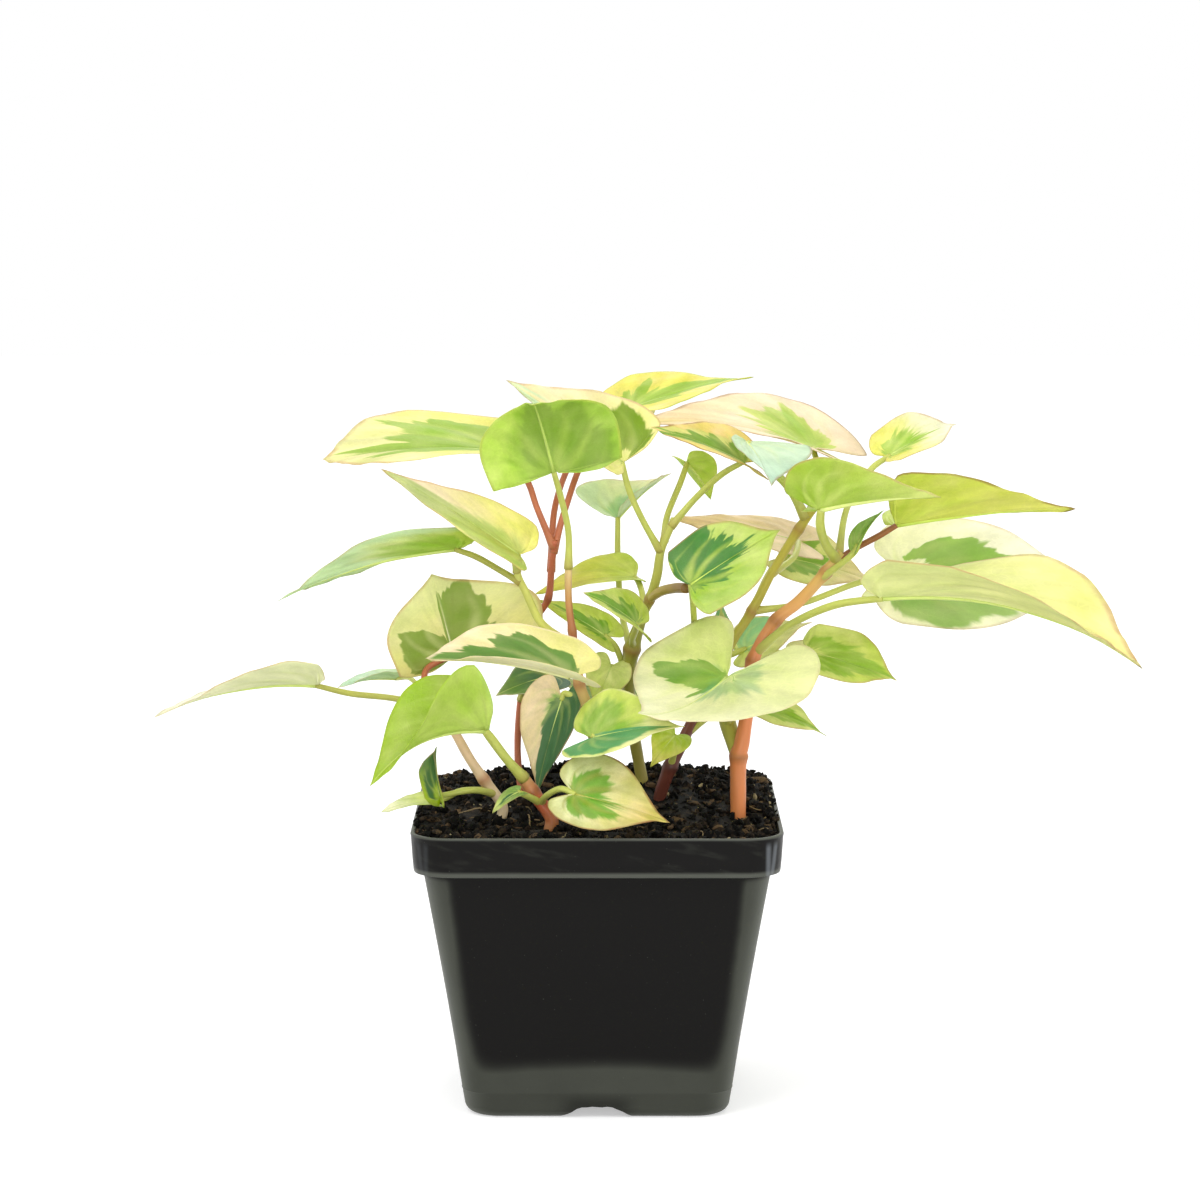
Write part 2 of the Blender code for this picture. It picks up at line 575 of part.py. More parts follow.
def build_leaf(leaf, parts, cutters, routes, spaces):
    blade = blade_surface(leaf.name, leaf, parts)
    solid = blade.modifiers.new("thickness", "SOLIDIFY")
    solid.thickness = BLADE_THICKNESS
    solid.offset = 0.0
    petiole = as_cutter(tube(leaf.name + "_petiole", cutters, petiole_route(leaf, routes), 1))
    boolean(blade, petiole, "UNION", "MANIFOLD")
    boolean(blade, spaces[leaf.stem], "DIFFERENCE", "MANIFOLD")
    blade.data.materials.append(material(leaf.name + "_green", leaf.colour, 0.5))
    return blade


def main():
    clear_scene()
    parts = new_collection("potted_houttuynia")
    cutters = new_collection("cutters")
    routes = {stem.name: stem_route(stem) for stem in STEMS}
    build_pot(parts, cutters)
    _, spaces = build_stems(parts, cutters)
    build_soil(parts, cutters, [spaces[stem.name] for stem in STEMS if not stem.parent])
    for leaf in LEAVES:
        build_leaf(leaf, parts, cutters, routes, spaces)


main()
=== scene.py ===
"""Looks of a potted houttuynia: a variegated young plant in a square black nursery pot.

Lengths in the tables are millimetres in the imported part's own frame: the origin is the middle of the
pot's flat underside, +X is to the right, +Y to the back and +Z up. Each leaf is a heart-shaped blade on
a petiole, each stem a tube with swollen nodes, and each replaces the plain solid of its name.
"""

import logging
import math
import random
from dataclasses import dataclass
from enum import Enum
from typing import Callable, Sequence, Union

import bmesh
import bpy
import numpy as np
from mathutils import Euler, Matrix, Vector, noise


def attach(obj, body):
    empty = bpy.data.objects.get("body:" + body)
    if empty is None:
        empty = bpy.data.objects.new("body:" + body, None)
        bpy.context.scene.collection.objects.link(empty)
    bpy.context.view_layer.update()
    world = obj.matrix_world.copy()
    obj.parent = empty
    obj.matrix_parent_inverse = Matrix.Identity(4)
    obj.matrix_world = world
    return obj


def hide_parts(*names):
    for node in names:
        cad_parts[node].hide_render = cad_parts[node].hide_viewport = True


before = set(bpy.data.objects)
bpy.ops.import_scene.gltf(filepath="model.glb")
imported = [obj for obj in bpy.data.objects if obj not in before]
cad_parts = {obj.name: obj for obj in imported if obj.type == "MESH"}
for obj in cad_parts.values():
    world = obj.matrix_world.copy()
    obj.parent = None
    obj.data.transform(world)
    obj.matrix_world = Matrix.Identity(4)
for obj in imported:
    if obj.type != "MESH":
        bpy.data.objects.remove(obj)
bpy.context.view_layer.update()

LOG = logging.getLogger("houttuynia")
MM = 0.001
FULL_TURN = 2.0 * math.pi
QUARTER = 0.5 * math.pi
# Where the three curved pairs of veins run, from the midrib at 0 to the notch at 1.
SIDE_VEINS = (0.40, 0.62, 0.83)
VEIN_SPREAD = 0.45

Colour = tuple[float, float, float]
Point = tuple[float, float, float]
Face = tuple[int, ...]
Tint = tuple[Colour, float]
Rows = np.ndarray
Piece = bpy.types.Object
Material = bpy.types.Material


class Slot(Enum):
    """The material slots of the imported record."""

    POT = "pot"
    MIX = "potting_mix"
    STEM_RED = "stem_red"
    STEM_OLIVE = "stem_olive"
    LEAF_VARIEGATED = "leaf_variegated"
    LEAF_GREEN = "leaf_green"


def screen(red: int, green: int, blue: int) -> Colour:
    """Turns a screen colour, each part 0 to 255, into linear light."""
    shares = (value / 255.0 for value in (red, green, blue))
    return tuple(s / 12.92 if s <= 0.04045 else ((s + 0.055) / 1.055) ** 2.4 for s in shares)


# Leaf and stem colours
CREAM = screen(243, 240, 176)
PALE_CREAM = screen(247, 246, 205)
IVORY = screen(246, 244, 222)
BUTTER = screen(240, 237, 150)
LEMON = screen(238, 236, 120)
ORANGE_YELLOW = screen(240, 218, 122)
PINK_CREAM = screen(247, 228, 190)
PEACH = screen(245, 222, 170)
YELLOW = screen(238, 232, 105)
PALE_LIME = screen(222, 233, 140)
MILKY_LIME = screen(232, 236, 172)
GLOW_GREEN = screen(212, 236, 116)
WARM_GREEN = screen(190, 214, 104)
TOP_GREEN = screen(112, 150, 34)
MINT_SHADE = screen(190, 218, 172)
OLIVE_LIME = screen(150, 184, 44)
DUSTY_GREEN = screen(152, 190, 86)
PETIOLE_BROWN = screen(150, 96, 58)
YELLOW_GREEN = screen(200, 221, 92)
LIME = screen(182, 212, 50)
SOFT_GREEN = screen(205, 222, 120)
LIGHT_GREEN = screen(160, 200, 88)
GREY_GREEN = screen(178, 198, 130)
FRESH_GREEN = screen(150, 194, 66)
LEAF_GREEN = screen(122, 176, 60)
SAGE_GREEN = screen(142, 184, 94)
SHADE_GREEN = screen(120, 156, 64)
OLIVE_YELLOW = screen(172, 172, 76)
MID_GREEN = screen(112, 165, 55)
DARK_GREEN = screen(62, 130, 55)
BLUE_GREEN = screen(82, 160, 108)
DEEP_GREEN = screen(66, 112, 72)
MINT_GREEN = screen(142, 204, 152)
PALE_MINT = screen(214, 236, 196)
MINT = screen(200, 228, 206)
PINK_LINE = screen(215, 165, 125)
BROWN_LINE = screen(165, 115, 70)
PETIOLE_GREEN = screen(190, 196, 96)
PETIOLE_RED = screen(186, 108, 74)


def maths(operation: str, swapped: bool = False) -> Callable[..., "Sock"]:
    """Makes the method that adds one kind of Math node.

    Args:
        operation: The node's operation.
        swapped: Whether the other value comes first.

    Returns:
        The method.
    """

    def method(self: "Sock", other: "Value" = 0.0) -> "Sock":
        """Adds the node and returns its result."""
        first, second = (other, self) if swapped else (self, other)
        return self.bench.node("ShaderNodeMath", {"operation": operation}, {0: first, 1: second})

    return method


class Sock:
    """A shader socket on which Python arithmetic adds Math nodes."""

    __add__, __radd__ = maths("ADD"), maths("ADD", True)
    __sub__, __rsub__ = maths("SUBTRACT"), maths("SUBTRACT", True)
    __mul__, __rmul__ = maths("MULTIPLY"), maths("MULTIPLY", True)
    __truediv__, __rtruediv__ = maths("DIVIDE"), maths("DIVIDE", True)
    __pow__, __rpow__ = maths("POWER"), maths("POWER", True)
    __abs__ = maths("ABSOLUTE")
    most, least = maths("MAXIMUM"), maths("MINIMUM")

    def __init__(self, bench: "Bench", socket: bpy.types.NodeSocket | None) -> None:
        """Keeps the socket and the bench that it lies on."""
        self.bench = bench
        self.socket = socket

    def step(self, low: float, high: float) -> "Sock":
        """Rises smoothly from 0 at low to 1 at high, or falls where low is the larger."""
        settings = {"interpolation_type": "SMOOTHSTEP"}
        if low <= high:
            return self.bench.node("ShaderNodeMapRange", settings, {0: self, 1: low, 2: high})
        return 1.0 - self.bench.node("ShaderNodeMapRange", settings, {0: self, 1: high, 2: low})


Value = Union[Sock, float, Sequence[float]]


class Bench:
    """The node tree of a material or a sky, and the few ways in which nodes are added to it."""

    def __init__(self, name: str, sky: bool = False) -> None:
        """Starts an empty material, or an empty sky, of that name."""
        self.owner = bpy.data.worlds.new(name) if sky else bpy.data.materials.new(name)
        self.owner.use_nodes = True
        self.tree = self.owner.node_tree
        self.tree.nodes.clear()

    def node(self, kind: str, settings: dict | None = None, values: dict | None = None,
             output: int | str = 0) -> Sock:
        """Adds a node.

        Args:
            kind: The node's type.
            settings: Its own settings, set first; "stops" fills a colour ramp.
            values: Its input sockets by name or number, each a Sock or a constant.
            output: The output socket that is wanted.

        Returns:
            The wanted output.
        """
        made = self.tree.nodes.new(kind)
        for name, value in (settings or {}).items():
            if name == "stops":
                self._fill_ramp(made.color_ramp, value)
            else:
                setattr(made, name, value)
        for name, value in (values or {}).items():
            if isinstance(value, Sock):
                self.tree.links.new(value.socket, made.inputs[name])
            else:
                made.inputs[name].default_value = value
        return Sock(self, made.outputs[output] if len(made.outputs) else None)

    @staticmethod
    def _fill_ramp(ramp: bpy.types.ColorRamp, stops: Sequence[tuple[float, Colour]]) -> None:
        """Sets a ramp's stops, each a place and a colour."""
        while len(ramp.elements) < len(stops):
            ramp.elements.new(1.0)
        while len(ramp.elements) > len(stops):
            ramp.elements.remove(ramp.elements[-1])
        for element, (place, colour) in zip(ramp.elements, stops):
            element.position = place
            element.color = (*colour, 1.0)

    def blend(self, share: Value, low: Value, high: Value) -> Sock:
        """Mixes two colours: low where share is 0 and high where it is 1."""
        low, high = ((*c, 1.0) if isinstance(c, tuple) else c for c in (low, high))
        settings = {"data_type": "RGBA", "clamp_factor": True}
        return self.node("ShaderNodeMix", settings, {0: share, 6: low, 7: high}, output=2)

    def ramp(self, share: Value, colours: Sequence[Colour]) -> Sock:
        """Evenly spaced colours, read at share."""
        last = max(len(colours) - 1, 1)
        stops = [(i / last, colour) for i, colour in enumerate(colours)]
        return self.node("ShaderNodeValToRGB", {"stops": stops}, {0: share})

    def curve(self, share: Value, heights: Sequence[float], top: float) -> Sock:
        """A smooth run of evenly spaced heights, each at most top, read at share."""
        made = self.ramp(share, [(height / top,) * 3 for height in heights])
        made.socket.node.color_ramp.interpolation = "EASE"
        return made * top

    def tone(self, colour: Sock, value: Value, saturation: Value = 1.0, hue: Value = 0.5) -> Sock:
        """A colour with its value and saturation multiplied and its hue moved."""
        values = {"Hue": hue, "Saturation": saturation, "Value": value, "Color": colour}
        return self.node("ShaderNodeHueSaturation", None, values)

    def split(self, vector: Sock) -> tuple[Sock, Sock, Sock]:
        """The three parts of a vector."""
        parts = self.node("ShaderNodeSeparateXYZ", None, {0: vector})
        return tuple(Sock(self, parts.socket.node.outputs[i]) for i in range(3))

    def join(self, x: Value, y: Value, z: Value = 0.0) -> Sock:
        """A vector made of three values."""
        return self.node("ShaderNodeCombineXYZ", None, {0: x, 1: y, 2: z})

    def attribute(self, name: str) -> tuple[Sock, Sock, Sock]:
        """The three parts of a mesh attribute."""
        settings = {"attribute_type": "GEOMETRY", "attribute_name": name}
        return self.split(self.node("ShaderNodeAttribute", settings, None, "Vector"))

    def place(self) -> Sock:
        """The object's own coordinates in metres."""
        return self.node("ShaderNodeTexCoord", None, None, "Object")

    def grain(self, vector: Sock, scale: float = 1.0, detail: float = 2.0,
              rough: float = 0.5) -> Sock:
        """Soft noise between 0 and 1.

        Args:
            vector: Where the noise is read.
            scale: How fine it is.
            detail: How many finer layers it has.
            rough: How strong those are.

        Returns:
            The noise.
        """
        values = {"Vector": vector, "Scale": scale, "Detail": detail, "Roughness": rough}
        return self.node("ShaderNodeTexNoise", None, values)

    def bump(self, height: Sock, strength: float, distance: float) -> Sock:
        """A normal that follows a height in metres times distance."""
        values = {"Strength": strength, "Distance": distance, "Height": height}
        return self.node("ShaderNodeBump", None, values)

    def skin(self, colour: Sock, rough: Value, shine: float, normal: Sock,
             more: dict | None = None) -> Sock:
        """An opaque shader.

        Args:
            colour: Its colour.
            rough: Its roughness.
            shine: How strongly it mirrors.
            normal: Its normal.
            more: Constants for its other sockets.

        Returns:
            The shader.
        """
        values = {"Base Color": colour, "Roughness": rough, "Specular IOR Level": shine}
        return self.node("ShaderNodeBsdfPrincipled", None, {**values, "Normal": normal, **(more or {})})

    def surface(self, shader: Sock) -> bpy.types.ID:
        """Ends the tree with this shader and returns the material or the sky."""
        kind = "World" if isinstance(self.owner, bpy.types.World) else "Material"
        self.node(f"ShaderNodeOutput{kind}", None, {"Surface": shader})
        return self.owner


class BladeBench(Bench):
    """The node tree of a leaf blade, with the places that its mesh carries."""

    def __init__(self, name: str, seed: float) -> None:
        """Starts the tree; seed moves its noise, so that no two leaves look alike."""
        super().__init__(name)
        self.seed = seed
        self.around, self.outwards, _ = self.attribute("leaf_place")
        self.along, self.across, _ = self.attribute("leaf_plane")

    def fan(self, wide: float, far: float, shift: float, detail: float = 2.0) -> Sock:
        """Noise that spreads from the petiole, wide times finer round it and far times outwards."""
        place = self.join(self.around * wide, self.outwards * far, self.seed + shift)
        return self.grain(place, 1.0, detail)

    def sheet(self, scale: float, shift: float = 0.0, detail: float = 2.0) -> Sock:
        """Noise that lies evenly over the blade."""
        return self.grain(self.join(self.along, self.across, self.seed + shift), scale, detail)

    def drift(self, long: float, wide: float, shift: float) -> Sock:
        """Slow noise about zero, longer one way than the other."""
        place = self.join(self.along * long, self.across * wide, self.seed + shift)
        return self.grain(place) - 0.5


@dataclass(frozen=True)
class Patch:
    """A patch of colour that spreads out from the petiole, with an edge torn along the veins.

    Attributes:
        colour: Its colour.
        outer: How far out it reaches at evenly spaced places round the leaf, from the left of the
            notch over the tip to the right of the notch; 1 is the margin.
        jag: How deep the tears in its edge are.
        soft: How soft the edge is.
        strength: How much of the colour there is at most.
        inner: Where it starts, at such places.
    """

    colour: Colour
    outer: tuple[float, ...]
    jag: float = 0.3
    soft: float = 0.035
    strength: float = 1.0
    inner: tuple[float, ...] = ()

    TOP_REACH = 1.25
    STREAK_PULL = 1.7
    INNER_TEAR = 0.7

    def share(self, bench: BladeBench, shift: float) -> Sock:
        """How much of the patch shows at each place; shift moves its tears."""
        turn = bench.around * 0.5 + 0.5
        streaks = bench.fan(8.0, 0.9, shift, 1.0)
        teeth = bench.fan(24.0, 2.2, shift + 5.0)
        torn = (streaks - 0.5) * (self.STREAK_PULL * self.jag) + (teeth - 0.5) * self.jag
        reach = bench.curve(turn, self.outer, self.TOP_REACH) + torn
        share = (reach - bench.outwards).step(-self.soft, self.soft)
        if self.inner:
            start = bench.curve(turn, self.inner, self.TOP_REACH) + torn * self.INNER_TEAR
            share = share * (bench.outwards - start).step(-self.soft, self.soft)
        return share * self.strength


@dataclass(frozen=True)
class LeafSkin:
    """The finish of one leaf blade.

    Attributes:
        base: The ground colour at the petiole.
        tip: The ground colour at the tip.
        patches: Patches painted over it, in order.
        edge: The colour of the thin margin line and how strong it is.
        under: A pale colour that the lower side leans to and how far.
        veins: How clearly the veins show.
        vein_colour: Their colour.
        petiole: The petiole's colour.
        gloss: Roughness of the skin.
    """

    base: Colour = CREAM
    tip: Colour = CREAM
    patches: tuple[Patch, ...] = ()
    edge: Tint = (PINK_LINE, 0.6)
    under: Tint = (GREY_GREEN, 0.35)
    veins: float = 0.3
    vein_colour: Colour = SOFT_GREEN
    petiole: Colour = PETIOLE_GREEN
    gloss: float = 0.42

    PATCH_SHIFT = 3.7
    UNDER_GLOW = 1.14
    UNDER_ROUGH = 0.12
    VEIN_SHOW = 2.4
    VEIN_MOST = 0.9
    VEIN_HALF = 0.034
    SHINE = 0.35
    CLEAR = {False: 0.24, True: 0.42}
    RELIEF = {False: (-0.7, 0.4), True: (1.0, 0.55)}
    RELIEF_DEPTH = 0.0004

    def material(self, name: str, seed: float, lower: bool) -> Material:
        """Builds the blade's material.

        Args:
            name: The material's name.
            seed: Moves the noise, so that no two leaves tear alike.
            lower: Whether it is for the lower side.

        Returns:
            The material.
        """
        bench = BladeBench(name, seed)
        (edge, edge_share), (under, under_share) = self.edge, self.under
        ground = (bench.along + bench.drift(2.2, 3.0, 11.0) * 0.7).step(0.0, 0.9)
        colour = bench.blend(ground, self.base, self.tip)
        for number, patch in enumerate(self.patches):
            share = patch.share(bench, self.PATCH_SHIFT * number)
            colour = bench.blend(share, colour, patch.colour)
        if lower:
            colour = bench.blend(under_share, colour, under)
        lines, net = self._vein_lines(bench), self._vein_net(bench)
        shown = min(self.VEIN_MOST, self.VEIN_SHOW * self.veins)
        colour = self._mottled(bench, bench.blend(lines * shown, colour, self.vein_colour), net)
        # Painted light: the lower side's colour is brightened to stand in for the light that shines through
        # the blade.
        if lower:
            colour = bench.tone(colour, self.UNDER_GLOW)
        wear_and_sheen = bench.fan(7.0, 1.0, 0.0)
        rim = bench.outwards.step(0.95, 0.99) * wear_and_sheen.step(0.3, 0.6) * edge_share
        colour = bench.blend(rim, colour, edge)
        raised, strength = self.RELIEF[lower]
        height = lines * raised + net * 0.25 + bench.sheet(30.0) * 0.4
        rough = self.gloss - 0.06 + (self.UNDER_ROUGH if lower else 0.0)
        normal = bench.bump(height, strength, self.RELIEF_DEPTH)
        skin = bench.skin(colour, wear_and_sheen * 0.12 + rough, self.SHINE, normal)
        through = tuple(0.75 * a + 0.25 * b for a, b in zip(self.base, self.vein_colour))
        glow = bench.node("ShaderNodeBsdfTranslucent", None, {"Color": (*through, 1.0)})
        values = {0: self.CLEAR[lower], 1: skin, 2: glow}
        return bench.surface(bench.node("ShaderNodeMixShader", None, values))

    def _vein_lines(self, bench: BladeBench) -> Sock:
        """Main veins: the midrib and three curved pairs that spread from the petiole."""
        off, outwards = abs(bench.around), bench.outwards
        sway = bench.drift(2.6, 3.4, 8.0)
        fade = outwards.step(1.0, 0.4) * 0.8
        lines = (off * outwards).step(0.024, 0.0)
        bent = off / (1.0 - outwards * outwards * VEIN_SPREAD) + sway * 0.10
        for vein in SIDE_VEINS:
            lines = lines.most((abs(bent - vein) * outwards).step(self.VEIN_HALF, 0.0) * fade)
        return lines * (0.75 + sway)

    def _vein_net(self, bench: BladeBench) -> Sock:
        """The fine net of small veins, 1 on a vein."""
        values = {"Vector": bench.join(bench.along, bench.across, bench.seed), "Scale": 24.0}
        settings = {"feature": "DISTANCE_TO_EDGE"}
        return bench.node("ShaderNodeTexVoronoi", settings, values).step(0.10, 0.0)

    def _mottled(self, bench: BladeBench, colour: Sock, net: Sock) -> Sock:
        """Breaks a flat colour up with slow light and dark drifts, rays and the net of veins."""
        slow, fine = bench.sheet(4.5, 2.0, 3.0), bench.sheet(46.0, 4.0)
        rays = bench.fan(13.0, 1.4, 6.0, 3.0)
        light = 0.40 + slow * 0.46 + rays * 0.58 + fine * 0.14 + net * 0.06
        return bench.tone(colour, light, 1.2 - slow * 0.45, 0.521 - slow * 0.06)


@dataclass(frozen=True)
class StemSkin:
    """The finish of a stem or petiole, whose colour changes from its foot to its top.

    Attributes:
        colours: Evenly spaced colours, from the foot to the top.
        node: Colour of the swollen nodes.
        gloss: Roughness of the skin.
    """

    colours: tuple[Colour, ...]
    node: Colour = BROWN_LINE
    gloss: float = 0.42

    SHINE = 0.4
    RELIEF_DEPTH = 0.0003
    FLESH = {"Subsurface Weight": 0.15, "Subsurface Radius": (0.6, 0.5, 0.2), "Subsurface Scale": MM}

    def material(self, name: str, seed: float) -> Material:
        """Builds the stem's material.

        Args:
            name: The material's name.
            seed: Moves the noise.

        Returns:
            The material.
        """
        bench = Bench(name)
        run, ring, side = bench.attribute("stem_place")
        drift = bench.grain(bench.join(run * 5.0, side, seed)) - 0.5
        streaks = bench.grain(bench.join(run * 9.0, side * 2.6, seed + 3.0), 1.0, 3.0)
        grooves = bench.grain(bench.join(run * 4.0, side * 5.0, seed + 6.0))
        colour = bench.ramp(run + drift * 0.5 / max(len(self.colours), 2), self.colours)
        colour = bench.blend(ring * 0.75, colour, self.node)
        colour = bench.tone(colour, 0.80 + streaks * 0.4)
        normal = bench.bump(grooves + ring, 0.4, self.RELIEF_DEPTH)
        rough = streaks * 0.2 + (self.gloss - 0.1)
        return bench.surface(bench.skin(colour, rough, self.SHINE, normal, self.FLESH))


@dataclass(frozen=True)
class PotPlastic:
    """Black moulded plastic, with painted reflections greying it low down and at the corners.

    Attributes:
        black: The plastic's own black.
        reflection_and_swirl_grey: The grey of the painted reflection of the pale floor low down
            and in the corner strips, and of the faint swirls on the band.
        wear_and_sheen: The pale specks of wear, the painted highlights on the band's lip and top edge,
            the painted sheen towards the silhouettes and the painted reflection right on each corner.
        glint: The cool sheen on the band's corners.
        reflection_top: Height of the painted reflection's upper edge at the corners, in millimetres.
        reflection_arch: How much higher that edge lies at the middle of a side.
        corner_reflection_width: How wide the painted reflection's grey strip at a corner is, as a share
            of half the width.
    """

    black: Colour = screen(14, 13, 12)
    reflection_and_swirl_grey: Colour = screen(64, 66, 59)
    wear_and_sheen: Colour = screen(112, 115, 106)
    glint: Colour = screen(150, 156, 162)
    reflection_top: float = 14.5
    reflection_arch: float = 2.5
    corner_reflection_width: float = 0.13

    SLOPE = 0.16
    HALF_FOOT = 37.0
    RIM = 103.6
    CORNER_START = 1.965
    BODY_EDGE = (71.0, 69.0)
    BAND_FOOT = (70.0, 72.0)
    LIP = (70.6, 71.2, 73.2, 72.0)
    CROWN = (81.6, 82.3)
    GLINT_TOP = (81.5, 79.0)
    DRAIN_SHADE = (13.0 * MM, 5.0 * MM, 8.5, 3.5)
    CLOUD_SCALE = 60.0
    SWIRL_SCALE = 420.0
    PIT_SCALE = 900.0
    SPECK_SCALE = 1400.0
    PIT_DEPTH = 0.0002
    SHINE = 0.11

    def material(self, name: str) -> Material:
        """Builds the plastic.

        Args:
            name: The material's name.

        Returns:
            The material.
        """
        bench = Bench(name)
        place = bench.place()
        x, y, z = bench.split(place)
        height, side = z / MM, abs(x).least(abs(y))
        cloud = bench.grain(place, self.CLOUD_SCALE, 3.0)
        drawn = bench.join(x * 0.25, y * 0.25, z + x * 0.18)
        swirl = bench.grain(drawn, self.SWIRL_SCALE, 3.0)
        specks = bench.grain(place, self.SPECK_SCALE, 1.0).step(0.76, 0.82)
        body, rim = height.step(*self.BODY_EDGE), height.step(*self.BAND_FOOT)
        half = self.HALF_FOOT * MM + z * self.SLOPE
        reach = side / half
        # Painted reflection of the pale floor and surroundings: up falls to a grey zone low on the body,
        # whose edge arches up at each side's middle; across falls to grey strips down the corners; low
        # joins both.
        arch = (1.0 - reach * reach) * self.reflection_arch
        up = ((height - arch - cloud) / self.reflection_top).most(0.05)
        around = (abs(x) + abs(y)) / half
        across = ((self.CORNER_START - around - cloud * 0.02) / self.corner_reflection_width).most(0.05)
        low = (up**-4.0 + across**-4.0).step(0.6, 3.0) * body
        near, far, over, under = self.DRAIN_SHADE
        # Layer Weight's facing share, used below for a painted sheen towards the silhouettes.
        sheen = bench.node("ShaderNodeLayerWeight", None, {"Blend": 0.5}, "Facing").step(0.12, 0.8)
        foot, start, end, top = self.LIP
        layers = (
            # Painted reflection: grey low on the body, grey strips down the corners and a paler line right
            # on each corner.
            (low * (0.72 + cloud * 0.4), self.reflection_and_swirl_grey),
            (across.step(0.6, 0.05) * body * 0.12, self.wear_and_sheen),
            (side.step(near, far) * height.step(over, under) * 0.6, self.black),
            # Painted sheen: paler towards the silhouettes.
            (sheen * body * 0.55, self.wear_and_sheen),
            (swirl.step(0.5, 0.75) * rim * 0.22, self.reflection_and_swirl_grey),
            (specks * 0.2, self.wear_and_sheen),
            # Painted highlights: a pale line along the band's lip and one along its top edge.
            (height.step(foot, start) * height.step(end, top) * 0.5, self.wear_and_sheen),
            (height.step(*self.CROWN) * 0.5, self.wear_and_sheen),
            (self._glints(x, side) * rim * height.step(*self.GLINT_TOP), self.glint),
        )
        colour = self.black
        for share, paint in layers:
            colour = bench.blend(share, colour, paint)
        pitted = bench.grain(place, self.PIT_SCALE, 3.0) + swirl * 0.4
        rough = 0.30 + low * 0.12 + cloud * 0.12
        normal = bench.bump(pitted, 0.25, self.PIT_DEPTH)
        return bench.surface(bench.skin(colour, rough, self.SHINE, normal))

    def _glints(self, x: Sock, side: Sock) -> Sock:
        """Two upright glints beside each corner of the band, stronger on the right."""
        turned = side / (0.5 * self.RIM * MM)
        glints = turned.step(0.89, 0.91) * turned.step(0.935, 0.912)
        glints = glints.most(turned.step(0.955, 0.97) * turned.step(0.995, 0.98) * 0.8)
        return glints * (0.06 + x.step(0.0, 0.04) * 0.28)


@dataclass(frozen=True)
class MixCrumb:
    """Moist peat and bark.

    Attributes:
        dark: The wet peat.
        light: Drier bark.
        dry_share: How much of the drier colour shows.
        gloss: Roughness.
    """

    dark: Colour = screen(11, 10, 8)
    light: Colour = screen(54, 43, 32)
    dry_share: float = 0.32
    gloss: float = 0.7

    COARSE_SCALE = 260.0
    FINE_SCALE = 1500.0
    RELIEF_DEPTH = 0.0006
    SHINE = 0.14

    def material(self, name: str) -> Material:
        """Builds the mix.

        Args:
            name: The material's name.

        Returns:
            The material.
        """
        bench = Bench(name)
        place = bench.place()
        coarse = bench.grain(place, self.COARSE_SCALE, 4.0, 0.7)
        fine = bench.grain(place, self.FINE_SCALE, 3.0, 0.7)
        dry = (coarse + fine * 0.35).step(0.98 - self.dry_share, 1.15 - self.dry_share)
        colour = bench.blend(dry, self.dark, self.light)
        normal = bench.bump(fine + coarse, 0.8, self.RELIEF_DEPTH)
        return bench.surface(bench.skin(colour, self.gloss + fine * 0.2, self.SHINE, normal))


def stand(name: str, data: bpy.types.ID, place: Sequence[float] = (0.0, 0.0, 0.0),
          turn: Sequence[float] = (0.0, 0.0, 0.0)) -> Piece:
    """Puts a mesh, a lamp or a camera into the scene.

    Args:
        name: The object's name.
        data: What it shows.
        place: Where it stands, in metres.
        turn: How it is turned, in radians.

    Returns:
        The object.
    """
    piece = bpy.data.objects.new(name, data)
    piece.location = place
    piece.rotation_euler = turn
    bpy.context.scene.collection.objects.link(piece)
    return piece


def mesh_piece(name: str, points: Sequence[Sequence[float]], faces: Sequence[Face],
               materials: Sequence[Material], finish: Sequence[int] = ()) -> Piece:
    """Makes a smooth mesh object.

    Args:
        name: The piece's name.
        points: Its vertices in metres.
        faces: Its faces, as vertex numbers.
        materials: Its materials.
        finish: The number of each face's material, or nothing for the first.

    Returns:
        The object, linked to the scene.
    """
    data = bpy.data.meshes.new(name)
    data.from_pydata([tuple(p) for p in points], [], [tuple(f) for f in faces])
    for material in materials:
        data.materials.append(material)
    data.polygons.foreach_set("use_smooth", [True] * len(data.polygons))
    if len(finish):
        data.polygons.foreach_set("material_index", list(finish))
    data.update()
    return stand(name, data)


def lumps_piece(name: str, shape: bmesh.types.BMesh, material: Material) -> Piece:
    """Makes an object of the lumps gathered in shape, and frees it."""
    data = bpy.data.meshes.new(name)
    shape.to_mesh(data)
    shape.free()
    data.materials.append(material)
    return stand(name, data)


def add_lump(shape: bmesh.types.BMesh, centre: Vector, turn: Matrix, grow: Sequence[float],
             radius: float) -> list[bmesh.types.BMVert]:
    """Adds a small closed ball.

    Args:
        shape: What it is added to.
        centre: Its centre in metres.
        turn: Its turn.
        grow: How far it is stretched each way.
        radius: Its radius in millimetres.

    Returns:
        Its vertices.
    """
    place = Matrix.Translation(centre) @ turn.to_4x4() @ Matrix.Diagonal((*grow, 1.0))
    return bmesh.ops.create_icosphere(shape, subdivisions=1, radius=radius * MM, matrix=place)["verts"]


def ring_faces(first: int, rings: int, count: int, inward: bool = False) -> list[Face]:
    """Faces that join closed rings of points.

    Args:
        first: The first point's number.
        rings: How many rings follow one another.
        count: How many points a ring has.
        inward: Whether the faces look inward.

    Returns:
        The faces.
    """
    faces = []
    for low in range(first, first + (rings - 1) * count, count):
        for k in range(count):
            after, high = low + (k + 1) % count, low + count + k
            side = (low + k, after, after + count, high)
            faces.append((side[0], *side[:0:-1]) if inward else side)
    return faces


